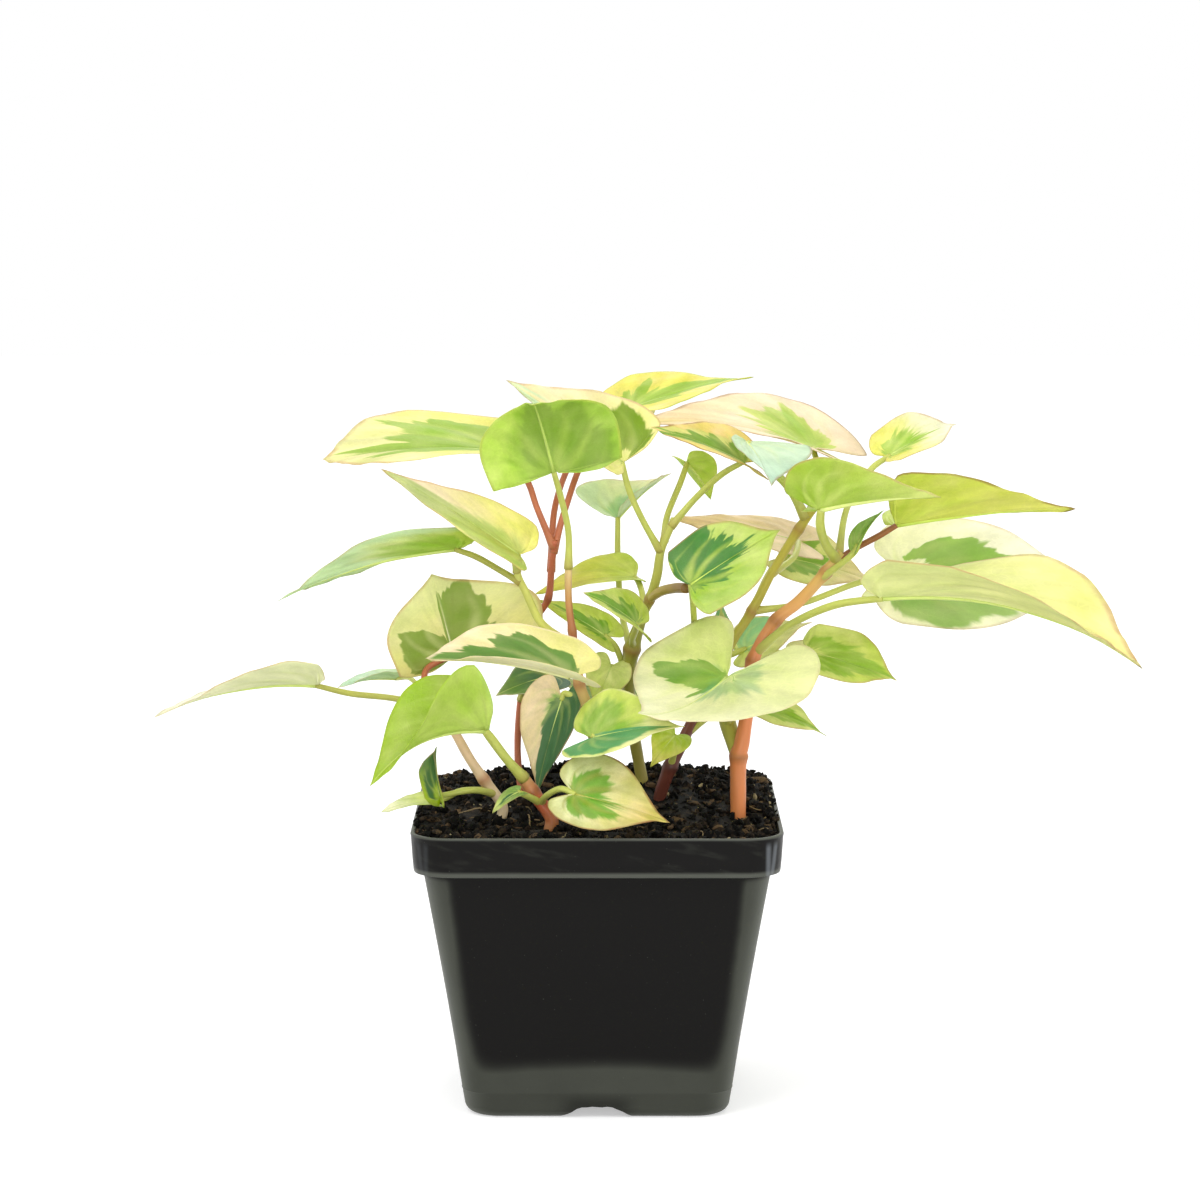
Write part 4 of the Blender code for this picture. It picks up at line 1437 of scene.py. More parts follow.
@dataclass
class Studio:
    """The pale floor, soft lights and the camera."""

    camera_place: Point = (0.0008, -1.13559, 0.29128)
    camera_tilt: float = 82.5
    lens: float = 120.44
    sensor: float = 36.0
    floor_size: float = 6.0
    floor_grey: float = 0.7
    floor_glow: float = 0.45
    sky: float = 0.8
    aim: Point = (0.0, 0.0, 0.12)

    def build(self) -> None:
        """Builds the floor, the lights, the sky and the camera."""
        self._floor()
        self._sky()
        self._lamp("key_softbox", (-0.9, -1.1, 1.7), 1.1, 17.0)
        self._lamp("fill_softbox", (1.3, -1.0, 0.9), 1.2, 6.5)
        self._lamp("back_softbox", (0.2, 1.3, 1.3), 1.2, 9.0)
        self._lamp("front_softbox", (0.1, -1.9, 0.35), 1.0, 9.0)
        self._camera()

    def _floor(self) -> None:
        """A plain floor that looks white and still takes the pot's shadow."""
        bench = Bench("pale_floor")
        matt = bench.node("ShaderNodeBsdfDiffuse", None, {"Color": (*[self.floor_grey] * 3, 1.0)})
        lit = bench.node("ShaderNodeEmission", None, {"Color": (*[self.floor_glow] * 3, 1.0)})
        both = bench.node("ShaderNodeAddShader", None, {0: matt, 1: lit})
        values = {0: self._seen(bench), 1: matt, 2: both}
        shader = bench.node("ShaderNodeMixShader", None, values)
        half = 0.5 * self.floor_size
        corners = [(-half, -half, 0.0), (half, -half, 0.0), (half, half, 0.0), (-half, half, 0.0)]
        floor = mesh_piece("floor", corners, [(0, 1, 2, 3)], [bench.surface(shader)])

    def _sky(self) -> None:
        """A soft even sky that the camera, gloss and glass see as white."""
        bench = Bench("soft_sky", sky=True)
        seen = self._seen(bench)
        strength = bench.node("ShaderNodeMapRange", None, {0: seen, 3: self.sky, 4: 1.0})
        values = {"Color": (1.0, 1.0, 1.0, 1.0), "Strength": strength}
        bpy.context.scene.world = bench.surface(bench.node("ShaderNodeBackground", None, values))

    @staticmethod
    def _seen(bench: Bench) -> Sock:
        """1 for rays that see the surroundings: the camera's, gloss and glass."""
        outputs = bench.node("ShaderNodeLightPath").socket.node.outputs
        camera, gloss, glass = (
            Sock(bench, outputs[f"Is {kind} Ray"]) for kind in ("Camera", "Glossy", "Transmission")
        )
        return camera.most(gloss).most(glass)

    def _lamp(self, name: str, place: Point, size: float, power: float) -> None:
        """A square soft light that faces the plant."""
        data = bpy.data.lights.new(name, "AREA")
        data.size, data.energy = size, power
        turn = (Vector(self.aim) - Vector(place)).to_track_quat("-Z", "Y").to_euler()
        stand(name, data, place, turn)

    def _camera(self) -> None:
        """The camera, level with the plant's middle and tilted slightly down."""
        data = bpy.data.cameras.new("camera")
        data.lens, data.sensor_width, data.clip_start = self.lens, self.sensor, 0.05
        turn = (math.radians(self.camera_tilt), 0.0, 0.0)
        bpy.context.scene.camera = stand("camera", data, self.camera_place, turn)


STEMS = (
    Stem("right_main", ((40, -14, 82, 2.2), (40, -14, 98, 2.3), (41, -14, 103, 2.2), (43, -12, 115, 1.8),
        (44, -12, 126, 1.8), (50, -12, 137, 1.7), (57, -12, 143, 1.7), (64, -14, 151, 1.7),
        (69, -14, 157, 1.6)), ((226, 140, 84), (224, 138, 84), (222, 134, 84), (220, 140, 90),
        (228, 172, 100), (206, 180, 98)), (160, 104, 56), (99, 126, 137.5, 151.5), slot=Slot.STEM_RED),
    Stem("right_second", ((40, -13, 99, 2.2), (37, -8, 108, 2.3), (36, -5, 114, 1.9), (36, -4, 124, 1.4),
        (39, -3, 131, 1.3), (44, -3, 139, 1.4), (50, -5, 151, 1.2), (57, -8, 163, 1.3),
        (61, -9, 169, 1.2)), ((178, 176, 80), (176, 168, 66), (190, 176, 70)), (160, 120, 60),
        (113.5, 139, 163), planted=False),
    Stem("centre_left", ((1, -18, 87, 1.6), (0, -20, 98, 1.6), (-1, -22, 106, 1.6), (-3, -22, 115, 1.6),
        (-5, -22, 121, 1.5), (-6, -22, 129, 1.4), (-7, -22, 136, 1.1), (-8, -22, 145, 1),
        (-8, -22, 156, 1)), ((195, 182, 104), (195, 182, 104), (192, 180, 100), (190, 170, 92),
        (205, 155, 100), (165, 92, 60), (190, 140, 80), (225, 205, 140)), (160, 110, 60), (98, 121, 136)),
    Stem("left_branch", ((-6, -22, 129, 1.2), (-10, -20, 133, 1.3), (-16, -18, 138, 1.2),
        (-20, -16, 146, 1.1), (-22, -16, 150, 1.1), (-23, -16, 154, 1)), ((195, 190, 90), (198, 200, 96),
        (205, 205, 105)), (170, 130, 60), (133,), planted=False),
    Stem("red_back", ((-22, 8, 84, 1), (-23, 8, 97, 1), (-22, 6, 112, 1), (-19, 5, 127, 1),
        (-18, 4, 135, 1), (-14, 2, 142, 1), (-13, 0, 152, 1), (-12, -2, 159, 1)), ((190, 116, 86),
        (184, 104, 72), (180, 98, 66)), (140, 74, 46), (127, 142), slot=Slot.STEM_RED),
    Stem("centre", ((14, 12, 82, 1.7), (12, 12, 93, 1.7), (10, 10, 105, 1.7), (9, 8, 117, 1.9),
        (10, 5, 127, 2.2), (13, 2, 137, 1.5), (15, 0, 142, 1.4), (17, -2, 149, 1.4), (18, -3, 156, 1.2),
        (20, -2, 161, 1.1), (22, 0, 165, 1.1)), ((165, 150, 75), (150, 150, 60), (190, 192, 90)),
        (140, 100, 45), (105, 127, 142)),
    Stem("centre_stub", ((15, 0, 142, 1.2), (18, -6, 145, 1.4), (22, -14, 147, 1.3), (25, -22, 148, 1.2)),
        ((176, 160, 78), (170, 146, 68), (150, 116, 56)), (130, 96, 50), (148,), planted=False),
    Stem("dark_low", ((18, 0, 85, 1.8), (21, -2, 94, 1.9), (25, 0, 102, 1.7), (29, 4, 112, 1.3),
        (30, 10, 127, 1.1), (35, 14, 133, 1)), ((96, 50, 40), (120, 64, 46), (150, 110, 60)), (70, 36, 28),
        (94, 112), slot=Slot.STEM_RED),
    Stem("left_low", ((-27, -18, 86, 1.5), (-32, -18, 93, 1.5), (-36, -18, 99, 1.4), (-40, -17, 106, 1.3),
        (-44, -14, 112, 1.2), (-47, -12, 115, 1.1)), ((222, 200, 165), (215, 185, 145), (200, 165, 115)),
        (170, 110, 70), (93, 112)),
    Stem("front_short", ((-13, -32, 85, 1.9), (-18, -32, 92, 1.8), (-21, -33, 97, 1.7)), ((176, 120, 74),
        (198, 96, 62), (205, 160, 104)), (140, 84, 50), (92,), slot=Slot.STEM_RED),
)

LEAVES = (
    # Crown
    Leaf("crown_far_left", "red_back", 157, ((-17, -1, 168), (-20, 1, 176)), (-26, 2, 184),
        (-77, -14, 183), (0, -3.5, 10), (11, 16), fold=(18, 8), arch=2.4, twist=15, lobe=1.6, blunt=0.65,
        skin=LeafSkin(LEMON, patches=(Patch(DUSTY_GREEN, (0.2, 0.3, 0.4, 0.65, 0.95, 0.72, 0.66, 0.45, 0.3),
        0.45),), veins=0.2, petiole=PETIOLE_RED)),
    Leaf("crown_front", "centre_left", 154, ((-8, -24, 164), (-10, -28, 174)), (-12, -34, 182),
        (-17, -66, 203), (-2, 6, 8), (20.5, 18.5), fold=(-3, -3), arch=7, lobe=0.15, blunt=0.3,
        skin=LeafSkin(GLOW_GREEN, GLOW_GREEN, (Patch(FRESH_GREEN, (1.2, 1.2, 1.1, 0.62, 0.35), 0.25, 0.12,
        0.75), Patch(SHADE_GREEN, (0.7, 0.82, 0.95, 0.45, 0.15), 0.35, 0.08, 0.8)), edge=(LEMON, 0.6),
        under=(GLOW_GREEN, 0.1), veins=0.45, vein_colour=WARM_GREEN), slot=Slot.LEAF_GREEN),
    Leaf("crown_top", "red_back", 155, ((-9, 2, 168), (-3, 14, 182)), (10, 34, 194), (46, 44, 202),
        (0, -3, 10), (13, 13), fold=(15, 10),
        skin=LeafSkin(YELLOW, YELLOW, (Patch(FRESH_GREEN, (0.3, 0.5, 1, 0.5, 0.3), 0.45),),
        edge=(YELLOW_GREEN, 0.6), petiole=PETIOLE_RED)),
    Leaf("crown_back", "centre", 156, ((13, -5, 165), (9, -7, 174)), (7, -8, 182), (-26, 8, 204),
        (1, -8, 7), (6, 18), fold=(10, 8), lobe=0.25,
        skin=LeafSkin(BUTTER, PINK_CREAM, (Patch(PALE_MINT, (0, 0.3, 1.1, 1.1, 0.3, 0, 0), 0.3, 0.1,
        inner=(0.9, 0.9, 0.8, 0.8, 0.9)), Patch(TOP_GREEN, (0, 0, 0, 0.2, 0.5, 0.78, 0.85, 0.8, 0.3),
        inner=(0.2,) * 5)), veins=0.2)),
    Leaf("crown_right", "right_second", 167, ((62, -4, 174), (63, 5, 179)), (62, 14, 184), (8, 8, 191),
        (0, -3, 10), (14, 22), arch=4, lobe=1.4,
        skin=LeafSkin(PINK_CREAM, PEACH, (Patch(OLIVE_YELLOW, (1.2, 1.1, 0.1, 0, 0, 0, 0, 0, 0.2), 0.1,
        0.05), Patch(WARM_GREEN, (0, 0, 0.2, 0.3, 0.3, 0.5, 0.76, 0.5, 0), 0.45),
        Patch(FRESH_GREEN, (0, 0, 0.2, 0.3, 0.2, 0.3, 0.6, 0.3, 0), 0.5, 0.08, 0.7)),
        edge=(BROWN_LINE, 0.7), veins=0.15)),
    Leaf("crown_striped", "centre", 163, ((28, 0, 171), (35, -4, 178)), (41, -8, 182), (15, -20, 193),
        (2, -5, 9), (11, 11), fold=(22, 12),
        skin=LeafSkin(ORANGE_YELLOW, ORANGE_YELLOW, (Patch(SOFT_GREEN, (0.3, 0.4, 1, 0.7, 0.4), 0.4, 0.1,
        0.7), Patch(MID_GREEN, (0.2, 0.25, 0.95, 0.42, 0.2), 0.6)), edge=(BROWN_LINE, 0.85))),
    Leaf("right_upper", "right_main", 155, ((64, -20, 160), (62, -27, 166)), (62, -30, 171),
        (94, -44, 176), (0, 5, 10), (16, 18), fold=(35, 20), petiole=1.3,
        skin=LeafSkin(YELLOW_GREEN, PALE_LIME, (Patch(LEAF_GREEN, (0.9, 0.9, 0.6, 0.8, 0.95), 0.4, 0.3,
        0.4),), under=(WARM_GREEN, 0.15), veins=0.5, vein_colour=PALE_LIME), slot=Slot.LEAF_GREEN),
    Leaf("crown_mint", "right_second", 166, ((54, -9, 175), (47, -10, 182)), (42, -12, 188),
        (48, -36, 178), (3, -3, 10), (18, 5), fold=(6, 5), petiole=1.2, lobe=0.5,
        skin=LeafSkin(MINT_SHADE, MINT, veins=0.15, gloss=0.34)),
    Leaf("right_top", "right_main", 156, ((71, 0, 168), (78, 8, 178)), (84, 12, 182), (104, 24, 190),
        (-1, -5, 8), (9, 6), fold=(20, 10), twist=-20, lobe=0.6, blunt=0.5,
        skin=LeafSkin(LEMON, IVORY, (Patch(LIGHT_GREEN, (0.35, 0.5, 0.6, 0.5, 0.3), 0.5, 0.08),))),
    # Right side
    Leaf("right_yellow", "right_main", 154, ((72, -15, 158), (79, -16, 162)), (84, -16, 165),
        (135, -10, 169), (0, 5, 10), (16, 18), fold=(35, 15), lobe=0.2,
        skin=LeafSkin(YELLOW_GREEN, YELLOW, edge=(BROWN_LINE, 0.9), under=(LEMON, 0.7), veins=0.25,
        vein_colour=YELLOW_GREEN, petiole=PETIOLE_BROWN)),
    Leaf("right_back", "right_second", 139, ((58, -2, 141), (74, 4, 146)), (88, 8, 149), (142, 16, 145),
        (0, -9, 3), (16, 17), fold=(10, 5), lobe=0.7, blunt=0.35,
        skin=LeafSkin(PALE_CREAM, IVORY, (Patch(LEAF_GREEN, (0, 0, 0.7, 0.84, 0.5, 0, 0, 0, 0), 0.3, 0.02,
        inner=(0.2,) * 5), Patch(SAGE_GREEN, (0, 0, 0, 0, 0.3, 0.92, 0.95, 0.8, 0.3), 0.3, 0.05,
        inner=(0.5, 0.5, 0.5, 0.4, 0.3))), edge=(PINK_LINE, 0.3), veins=0.12)),
    Leaf("right_large", "right_main", 128, ((54, -18, 137), (66, -28, 144)), (79, -36, 147),
        (149, -52, 130), (0, 5, 10), (21, 14), fold=(34, 36), arch=7, twist=-60, petiole=1.1, lobe=0.4,
        blunt=0.6,
        skin=LeafSkin(MILKY_LIME, BUTTER, (Patch(GREY_GREEN, (0.2, 0.25, 0.5, 0.3, 0.2), 0.3, 0.15, 0.6),),
        edge=(PINK_LINE, 0.8), under=(MILKY_LIME, 0.9), veins=0.15)),
    Leaf("unfolding", "right_main", 149, ((69, -19, 155), (72, -20, 158)), (73, -20, 160), (80, -22, 170),
        (-6, -6, 5), (3.5, 3.5), fold=(35, 35), wave=0,
        skin=LeafSkin(DUSTY_GREEN, SAGE_GREEN, edge=(SOFT_GREEN, 0.6)), slot=Slot.LEAF_GREEN),
    Leaf("right_low", "right_main", 124, ((50, -2, 126), (55, 6, 126)), (61, 12, 125), (86, 4, 118),
        (0, -7, 7), (10, 8), fold=(12, 8), lobe=0.5, blunt=0.5,
        skin=LeafSkin(PALE_LIME, YELLOW_GREEN, (Patch(FRESH_GREEN, (0.2, 0.6, 1, 0.75, 0.3), 0.4, 0.06,
        inner=(0.2, 0.15)),), veins=0.2)),
    Leaf("right_lowest", "dark_low", 103, ((33, 4, 108), (40, 7, 111)), (45, 8, 111), (66, 2, 102),
        (0, -5, 8), (5, 7), fold=(15, 12), lobe=0.6, blunt=0.3,
        skin=LeafSkin(PALE_LIME, PALE_LIME, (Patch(FRESH_GREEN, (0.4, 0.7, 1.1, 0.6, 0.4), 0.3, 0.06),))),
    Leaf("right_inner", "right_second", 141, ((48, 8, 146), (52, 20, 150)), (56, 30, 150), (83, 32, 142),
        (0, -6, 8), (12, 12),
        skin=LeafSkin(PALE_LIME, PEACH, (Patch(LEAF_GREEN, (0.6, 0.7, 0.4, 0.6, 0.5), 0.4),))),
    # Left side
    Leaf("left_upper", "left_branch", 152, ((-23, -17, 155),), (-22, -18, 157), (-60, -28, 182),
        (-3, -6, 7), (9, 10), fold=(30, 10), lobe=0.3,
        skin=LeafSkin(LEMON, PINK_CREAM, (Patch(SAGE_GREEN, (0.9, 0.95, 1, 1.1, 1.2, 0.5, 0.3, 0.2, 0.2),
        0.25, 0.12, 0.65), Patch(OLIVE_YELLOW, (0.6, 0.5, 0.3, 0.2, 0.3), 0.2, 0.2, 0.5)), veins=0.2)),
    Leaf("left_middle", "left_branch", 149, ((-27, -15, 152), (-34, -15, 156)), (-40, -14, 158),
        (-89, -26, 145), (0, 4, 10), (9, 9), fold=(30, 15), arch=2.5, twist=-30, lobe=0.5, blunt=0.35,
        skin=LeafSkin(YELLOW_GREEN, IVORY, (Patch(FRESH_GREEN, (0.5, 0.55, 0.4, 0.6, 0.5), 0.35, 0.15,
        0.8), Patch(PALE_MINT, (1.2, 1.2, 1.2, 1.2, 1.2), 0.3, 0.15, inner=(1.1, 0.8, 0.32, 0.8, 1.1))),
        edge=(PETIOLE_RED, 0.35), under=(GREY_GREEN, 0), veins=0.2, petiole=OLIVE_YELLOW)),
    Leaf("left_low", "left_low", 113, ((-58, -10, 115), (-70, -8, 116)), (-80, -6, 118), (-125, -18, 111),
        (0, 3, 10), (10, 9), fold=(30, 15), arch=3, lobe=0.2,
        skin=LeafSkin(MILKY_LIME, IVORY, (Patch(SAGE_GREEN, (0.2, 0.3, 0.5, 0.3, 0.2), 0.3, 0.15, 0.35),),
        under=(IVORY, 0.8), veins=0.15, petiole=OLIVE_YELLOW)),
    Leaf("left_broad", "left_low", 114, ((-49, -8, 119), (-48, -4, 123)), (-41, -1, 126), (-47, -6, 150),
        (0, -9, 5), (18, 28), fold=(10, 5), lobe=0.5, blunt=0.5,
        skin=LeafSkin(BUTTER, MILKY_LIME, (Patch(SHADE_GREEN, (0.7, 0.78, 0.8, 0.3, 0, 0, 0, 0, 0), 0.25,
        0.02), Patch(SHADE_GREEN, (0, 0, 0, 0, 0.75, 1, 0.55, 0.15, 0), 0.25, 0.02)), veins=0.25,
        vein_colour=MILKY_LIME, petiole=PETIOLE_RED)),
    Leaf("left_mint", "left_low", 112, ((-50, -2, 116), (-54, 8, 118)), (-58, 14, 117), (-75, 10, 115),
        (0, 0, 1), (5, 6), fold=(25, 20), lobe=0.6, petiole=0.7,
        skin=LeafSkin(PALE_MINT, MINT, veins=0.15)),
    Leaf("boat", "centre_left", 127, ((-6, -28, 127), (-7, -33, 126)), (-8, -36, 125), (-47, -50, 132),
        (0, -5, 9), (4, 12), fold=(40, 35), curl=15, arch=1.8, blunt=0.55,
        skin=LeafSkin(BUTTER, PINK_CREAM, (Patch(DARK_GREEN, (0, 0, 0, 0, 0.98, 0.9, 0.66, 0.4, 0.2), 0.35,
        0.02),), edge=(PINK_CREAM, 0.9), under=(IVORY, 0.95), veins=0.15, vein_colour=CREAM)),
    Leaf("left_front", "front_short", 96, ((-25, -37, 102), (-29, -40, 108)), (-31, -42, 111),
        (-62, -56, 98), (-3, -2, 8), (25, 18), fold=(68, 12), arch=5, petiole=1.3, lobe=0.4, blunt=0.25,
        skin=LeafSkin(GLOW_GREEN, LIME, (Patch(OLIVE_LIME, (1.2,) * 5, 0.1, 0.1, 0.9),
        # The MINT patch by the notch is a painted sheen: a bluish-white reflection on the far half's upper
        # side.
        Patch(MINT, (1.2, 0.9, 0, 0, 1.2), 0.3, 0.1, 0.7, inner=(0.75, 1, 1, 1, 0.6))), edge=(LIME, 0.6),
        under=(GLOW_GREEN, 0.8), veins=0.45), slot=Slot.LEAF_GREEN),
    # Middle
    Leaf("centre_back", "centre", 137, ((13, 8, 142), (12, 14, 145)), (11, 18, 146), (-18, 10, 142),
        (0, -4, 9), (8, 10), fold=(20, 10), arch=2, lobe=0.3,
        skin=LeafSkin(YELLOW_GREEN, YELLOW, edge=(SOFT_GREEN, 0.6), veins=0.2)),
    Leaf("centre", "centre", 128, ((10, -4, 131), (11, -11, 135)), (11, -16, 137), (-4, -24, 147),
        (0, -5, 8), (10, 10), fold=(20, 10),
        skin=LeafSkin(YELLOW_GREEN, SOFT_GREEN, (Patch(MID_GREEN, (0.4, 0.35, 0.95, 0.5, 0.2), 0.5),)),
        slot=Slot.LEAF_GREEN),
    Leaf("centre_right", "dark_low", 120, ((28, -2, 130), (27, -17, 142)), (26, -30, 150), (51, -26, 165),
        (-3, -9, 4), (12, 12), fold=(8, 5), lobe=0.35, blunt=0.45,
        skin=LeafSkin(WARM_GREEN, WARM_GREEN, (Patch(FRESH_GREEN, (0.3, 0.3, 0.4, 0.85, 0.8), 0.3, 0.2,
        0.6), Patch(DARK_GREEN, (0.8, 0.9, 0.92, 0.75, 0.5, 0.45, 0.3, 0.1, 0), 0.6, 0.03)), veins=0.45,
        vein_colour=YELLOW_GREEN)),
    Leaf("heart_large", "right_second", 107, ((37, -16, 112), (37, -24, 119)), (36, -30, 124),
        (11, -62, 119), (0.8, -2, 9.7), (31, 25), fold=(11, 5), arch=-4, lobe=1.55,
        skin=LeafSkin(MILKY_LIME, PALE_CREAM, (Patch(SOFT_GREEN, (0, 0, 0, 0, 0, 0.3, 0.8, 0.95, 0.8), 0.3,
        0.15, 0.7), Patch(MID_GREEN, (0, 0, 0, 0, 0, 0.3, 0.85, 0.1, 0), 0.4, 0.02),
        Patch(BLUE_GREEN, (0.38, 0.4, 0.3, 0.1, 0.1), 0.3, 0.08, 0.55, inner=(0.1, 0.08))),
        edge=(PINK_LINE, 0.3), veins=0.2)),
    Leaf("peach_back", "right_second", 150, ((56, 6, 153), (58, 16, 156)), (58, 24, 156), (21, 28, 162),
        (0, -4, 9), (12, 9), fold=(8, 5),
        skin=LeafSkin(PINK_CREAM, PEACH, edge=(BROWN_LINE, 0.5), under=(PINK_CREAM, 0.8), veins=0.1)),
    Leaf("mint_back", "centre", 126, ((7, 20, 136), (6, 28, 150)), (6, 31, 162), (22, 50, 173),
        (-5, -3, 8), (16, 10), fold=(38, 20), lobe=0.2,
        skin=LeafSkin(PALE_MINT, patches=(Patch(LIGHT_GREEN, (0.3, 0.3, 0.2, 0.25, 0.3), 0.3, 0.15, 0.8),
        Patch(MINT_GREEN, (0.1, 0.35, 0.85, 0.1, 0), 0.3, 0.1, 0.8)), under=(IVORY, 0.55), veins=0.15)),
    Leaf("drooping", "centre", 159, ((20, 7, 165), (24, 15, 174)), (26, 21, 179), (33, 24, 168), (6, 6, 6),
        (9, 9), fold=(20, 10),
        skin=LeafSkin(GLOW_GREEN, YELLOW_GREEN, edge=(YELLOW, 0.6), under=(YELLOW_GREEN, 0.4), veins=0.4),
        slot=Slot.LEAF_GREEN),
    Leaf("inner_left", "centre", 115, ((7, 7, 123), (5, 5, 128)), (2, 4, 131), (-17, 6, 141), (0, -6, 8),
        (6, 7),
        skin=LeafSkin(YELLOW_GREEN, YELLOW_GREEN, (Patch(MID_GREEN, (0.2, 0.4, 0.8, 0.5, 0.2), 0.5),))),
    Leaf("inner_low", "centre", 112, ((7, 9, 117), (5, 7, 121)), (4, 4, 122), (-1, 0, 110), (0, -8, 4),
        (7, 7),
        skin=LeafSkin(PALE_LIME, YELLOW_GREEN)),
    Leaf("inner_yellow", "dark_low", 94, ((22, -6, 99), (22, -8, 103)), (22, -9, 104), (15, -15, 96),
        (0, -8, 5), (6, 6),
        skin=LeafSkin(LIME, YELLOW, edge=(YELLOW, 0.6))),
    Leaf("inner_cream", "dark_low", 116, ((34, 10, 122), (40, 11, 125)), (43, 12, 126), (62, 10, 134),
        (0, -7, 7), (8, 8),
        skin=LeafSkin(PALE_LIME, patches=(Patch(MINT_GREEN, (0.3, 1, 0.5, 0.2, 0.2)),))),
    Leaf("inner_narrow", "dark_low", 122, ((32, 17, 124), (35, 21, 126)), (36, 22, 127), (36, 18, 140),
        (0, -9, 2), (4, 4),
        skin=LeafSkin(LEAF_GREEN, MINT_GREEN, (Patch(PALE_LIME, (0.1, 0.3, 0.9, 0.9, 0.1)),)),
        slot=Slot.LEAF_GREEN),
    # Low, near the mix
    Leaf("hanging", "centre_left", 110, ((-5, -17, 115), (-9, -14, 117)), (-10, -14, 115),
        (-17, -21, 89.5), (-4, -8, 2), (9, 11), fold=(20, 15),
        skin=LeafSkin(SAGE_GREEN, PEACH, (Patch(PEACH, (0.2, 0.4, 0.6, 1.2, 1.2), 0.3, 0.1,
        inner=(0.1, 0.3, 0.2, 0.3, 0.2)), Patch(DEEP_GREEN, (0.95, 1.1, 1.1, 0.25, 0), 0.3, 0.03)),
        veins=0.2)),
    Leaf("hanging_back", "red_back", 112, ((-20, 2, 118), (-16, 0, 121)), (-13, -1, 120), (-29, -6, 115),
        (0, -6, 8), (9, 9),
        skin=LeafSkin(DEEP_GREEN, SHADE_GREEN, edge=(PINK_CREAM, 0.9)), slot=Slot.LEAF_GREEN),
    Leaf("front_low", "centre_left", 103, ((-1, -30, 107), (-1, -37, 110)), (-1, -42, 109), (24, -54, 114),
        (0, -6.2, 7.8), (14, 11.5), fold=(18, 8), lobe=1.2,
        skin=LeafSkin(PALE_LIME, patches=(Patch(YELLOW_GREEN, (1.2, 1.2, 0.4, 0, 0), 0.1, 0.1),
        Patch(LEAF_GREEN, (0.7, 0.7, 0.5, 0.2, 0.2), 0.4, 0.15, 0.8),
        Patch(BLUE_GREEN, (0, 0, 0, 0.2, 0.86, 0.86, 0.88, 0.9, 0.95), 0.12, 0.04)), edge=(CREAM, 0.9),
        under=(MINT_GREEN, 0.3), veins=0.2)),
    Leaf("front_soil", "front_short", 89, ((-14, -38, 92), (-10, -44, 95)), (-6, -47, 94), (20, -52, 87),
        (0, -8, 6), (13, 10), fold=(8, 5), blunt=0.15,
        skin=LeafSkin(MILKY_LIME, ORANGE_YELLOW, (Patch(OLIVE_YELLOW, (1.2,) * 5, 0.5, 0.2, 0.5,
        inner=(0.7, 0.85, 0.8, 0.85, 0.7)), Patch(LEAF_GREEN, (0.25, 0.6, 0.4, 0.75, 0.2), 0.45, 0.06)),
        edge=(BROWN_LINE, 1), veins=0.35, vein_colour=OLIVE_YELLOW)),
    Leaf("soil_blade", "front_short", 89, ((-20, -37, 92),), (-22, -39, 93), (-29, -43, 88), (-3, -6, 6),
        (3, 3),
        skin=LeafSkin(SAGE_GREEN, SOFT_GREEN, (Patch(DEEP_GREEN, (0.1, 0.3, 0.7, 0.3, 0.1)),))),
    Leaf("rim_pale", "left_low", 90, ((-38, -19, 90), (-43, -20, 88)), (-47, -20, 87), (-61, -20, 84),
        (0, -3, 9), (5, 5),
        skin=LeafSkin(SOFT_GREEN, PALE_CREAM, edge=(SOFT_GREEN, 0.6))),
    Leaf("rim_curled", "left_low", 89, ((-35, -24, 91),), (-44, -27, 90), (-45, -27, 104), (-3, -4, -2),
        (4.5, 4.5), fold=(40, 60), blunt=0.6,
        skin=LeafSkin(LIME, DEEP_GREEN, (Patch(DEEP_GREEN, (0, 0.8, 1.2, 0.8, 0), 0.3, 0.1,
        inner=(0.5, 0.3, 0.3, 0.3, 0.5)),)), slot=Slot.LEAF_GREEN),
    # Behind
    Leaf("behind_top", "red_back", 150, ((-12, 10, 168), (-6, 26, 182)), (2, 42, 189), (-14, 72, 188),
        (0, 1, 10), (18, 18),
        skin=LeafSkin(YELLOW, patches=(Patch(LIGHT_GREEN, (0.3, 0.6, 0.6)),), petiole=PETIOLE_RED)),
    Leaf("behind_left", "red_back", 120, ((-26, 16, 130), (-30, 26, 133)), (-33, 34, 132), (-57, 62, 122),
        (0, 3, 10), (17, 17),
        skin=LeafSkin(YELLOW, patches=(Patch(LEAF_GREEN, (0.4, 0.7, 0.5, 0.7, 0.4), 0.4),))),
    Leaf("behind_right", "right_second", 118, ((44, 8, 119), (50, 24, 122)), (56, 36, 121), (78, 62, 112),
        (0, 3, 10), (16, 16)),
    Leaf("behind_low", "centre", 98, ((10, 24, 104), (8, 34, 108)), (6, 42, 108), (2, 78, 96), (0, 3, 10),
        (16, 16),
        skin=LeafSkin(PALE_LIME, patches=(Patch(MID_GREEN, (0.4, 0.8, 0.6, 0.8, 0.4), 0.4),))),
)


def build_plant() -> list[tuple[Piece, str, Slot]]:
    """Builds every stem and leaf.

    Returns:
        Each piece with the solid that it stands for and its slot.
    """
    stems = {stem.name: stem for stem in STEMS}
    made = [(stem.build(0.7 + 1.9 * number), stem.solid, stem.slot) for number, stem in enumerate(STEMS)]
    for number, leaf in enumerate(LEAVES):
        made.append((leaf.build(stems, 1.3 + 2.7 * number), leaf.solid, leaf.slot))
    return made


def carry(piece: Piece, slot: Slot, *nodes: str) -> None:
    """Joins a piece to the part's one body, hides the solids that it replaces and logs its faces."""
    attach(piece, "root")
    if nodes:
        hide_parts(*nodes)
    LOG.info("%s: %d faces", piece.name, len(piece.data.polygons))


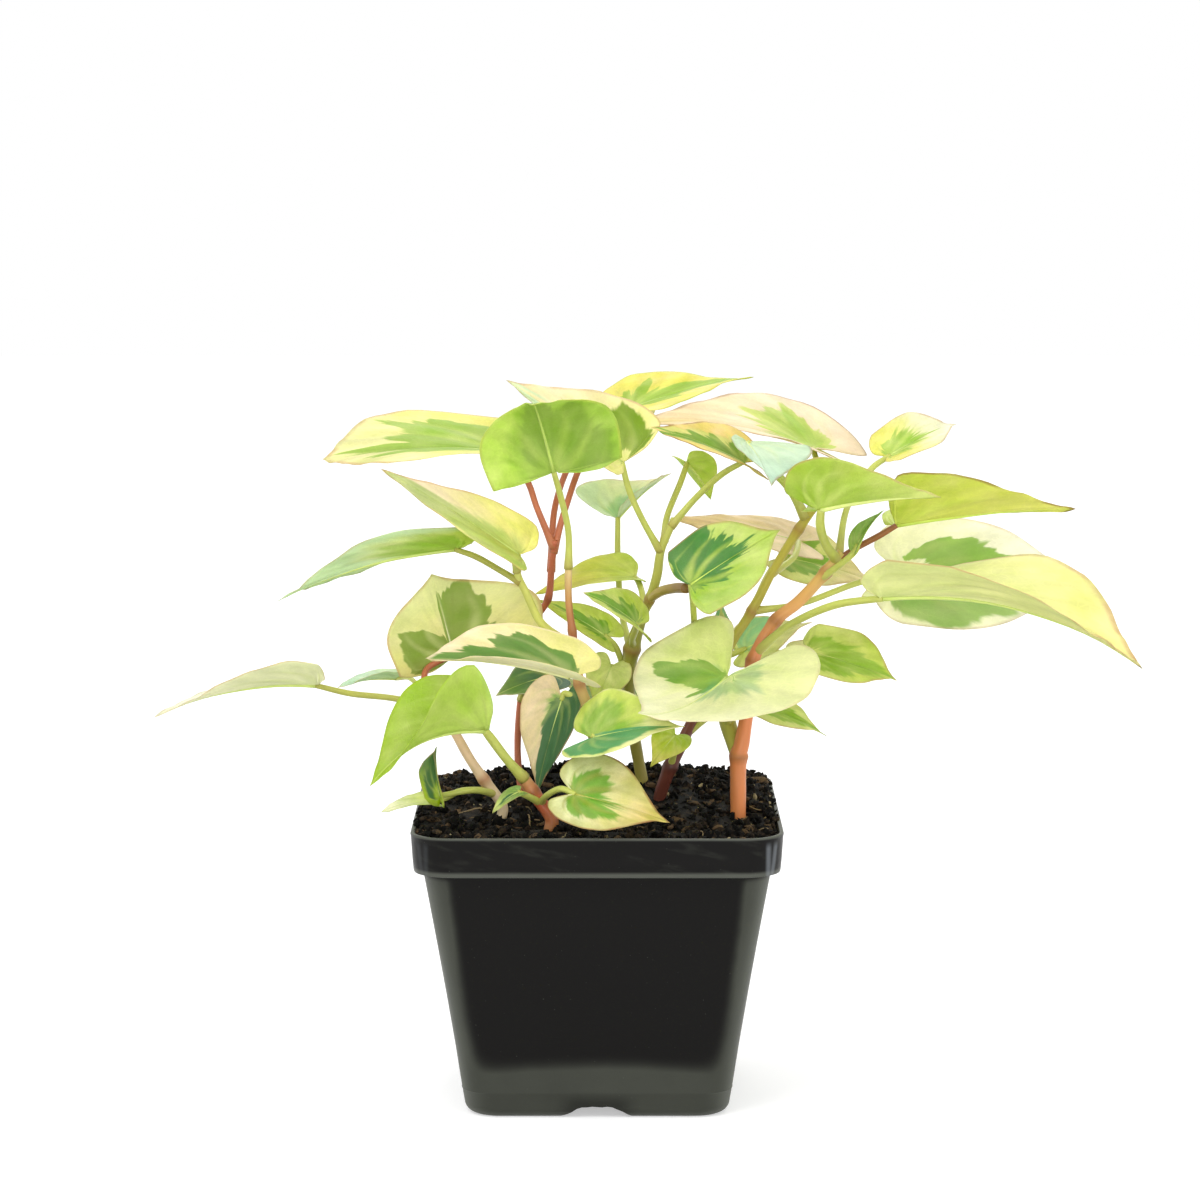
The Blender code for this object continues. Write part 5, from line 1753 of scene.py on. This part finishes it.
def main() -> None:
    """Builds the studio, the pot, the mix and the plant, and notes the sizes."""
    logging.basicConfig(level=logging.INFO, format="%(name)s %(message)s")
    Studio().build()
    carry(NurseryPot().build(), Slot.POT, "pot")
    bed, *loose = MixBed().build()
    carry(bed, Slot.MIX, "soil")
    for piece in loose:
        carry(piece, Slot.MIX)
    for piece, node, slot in build_plant():
        carry(piece, slot, node)
    bpy.context.view_layer.update()
    bpy.context.scene.view_settings.view_transform = "Standard"


if __name__ == "__main__":
    main()
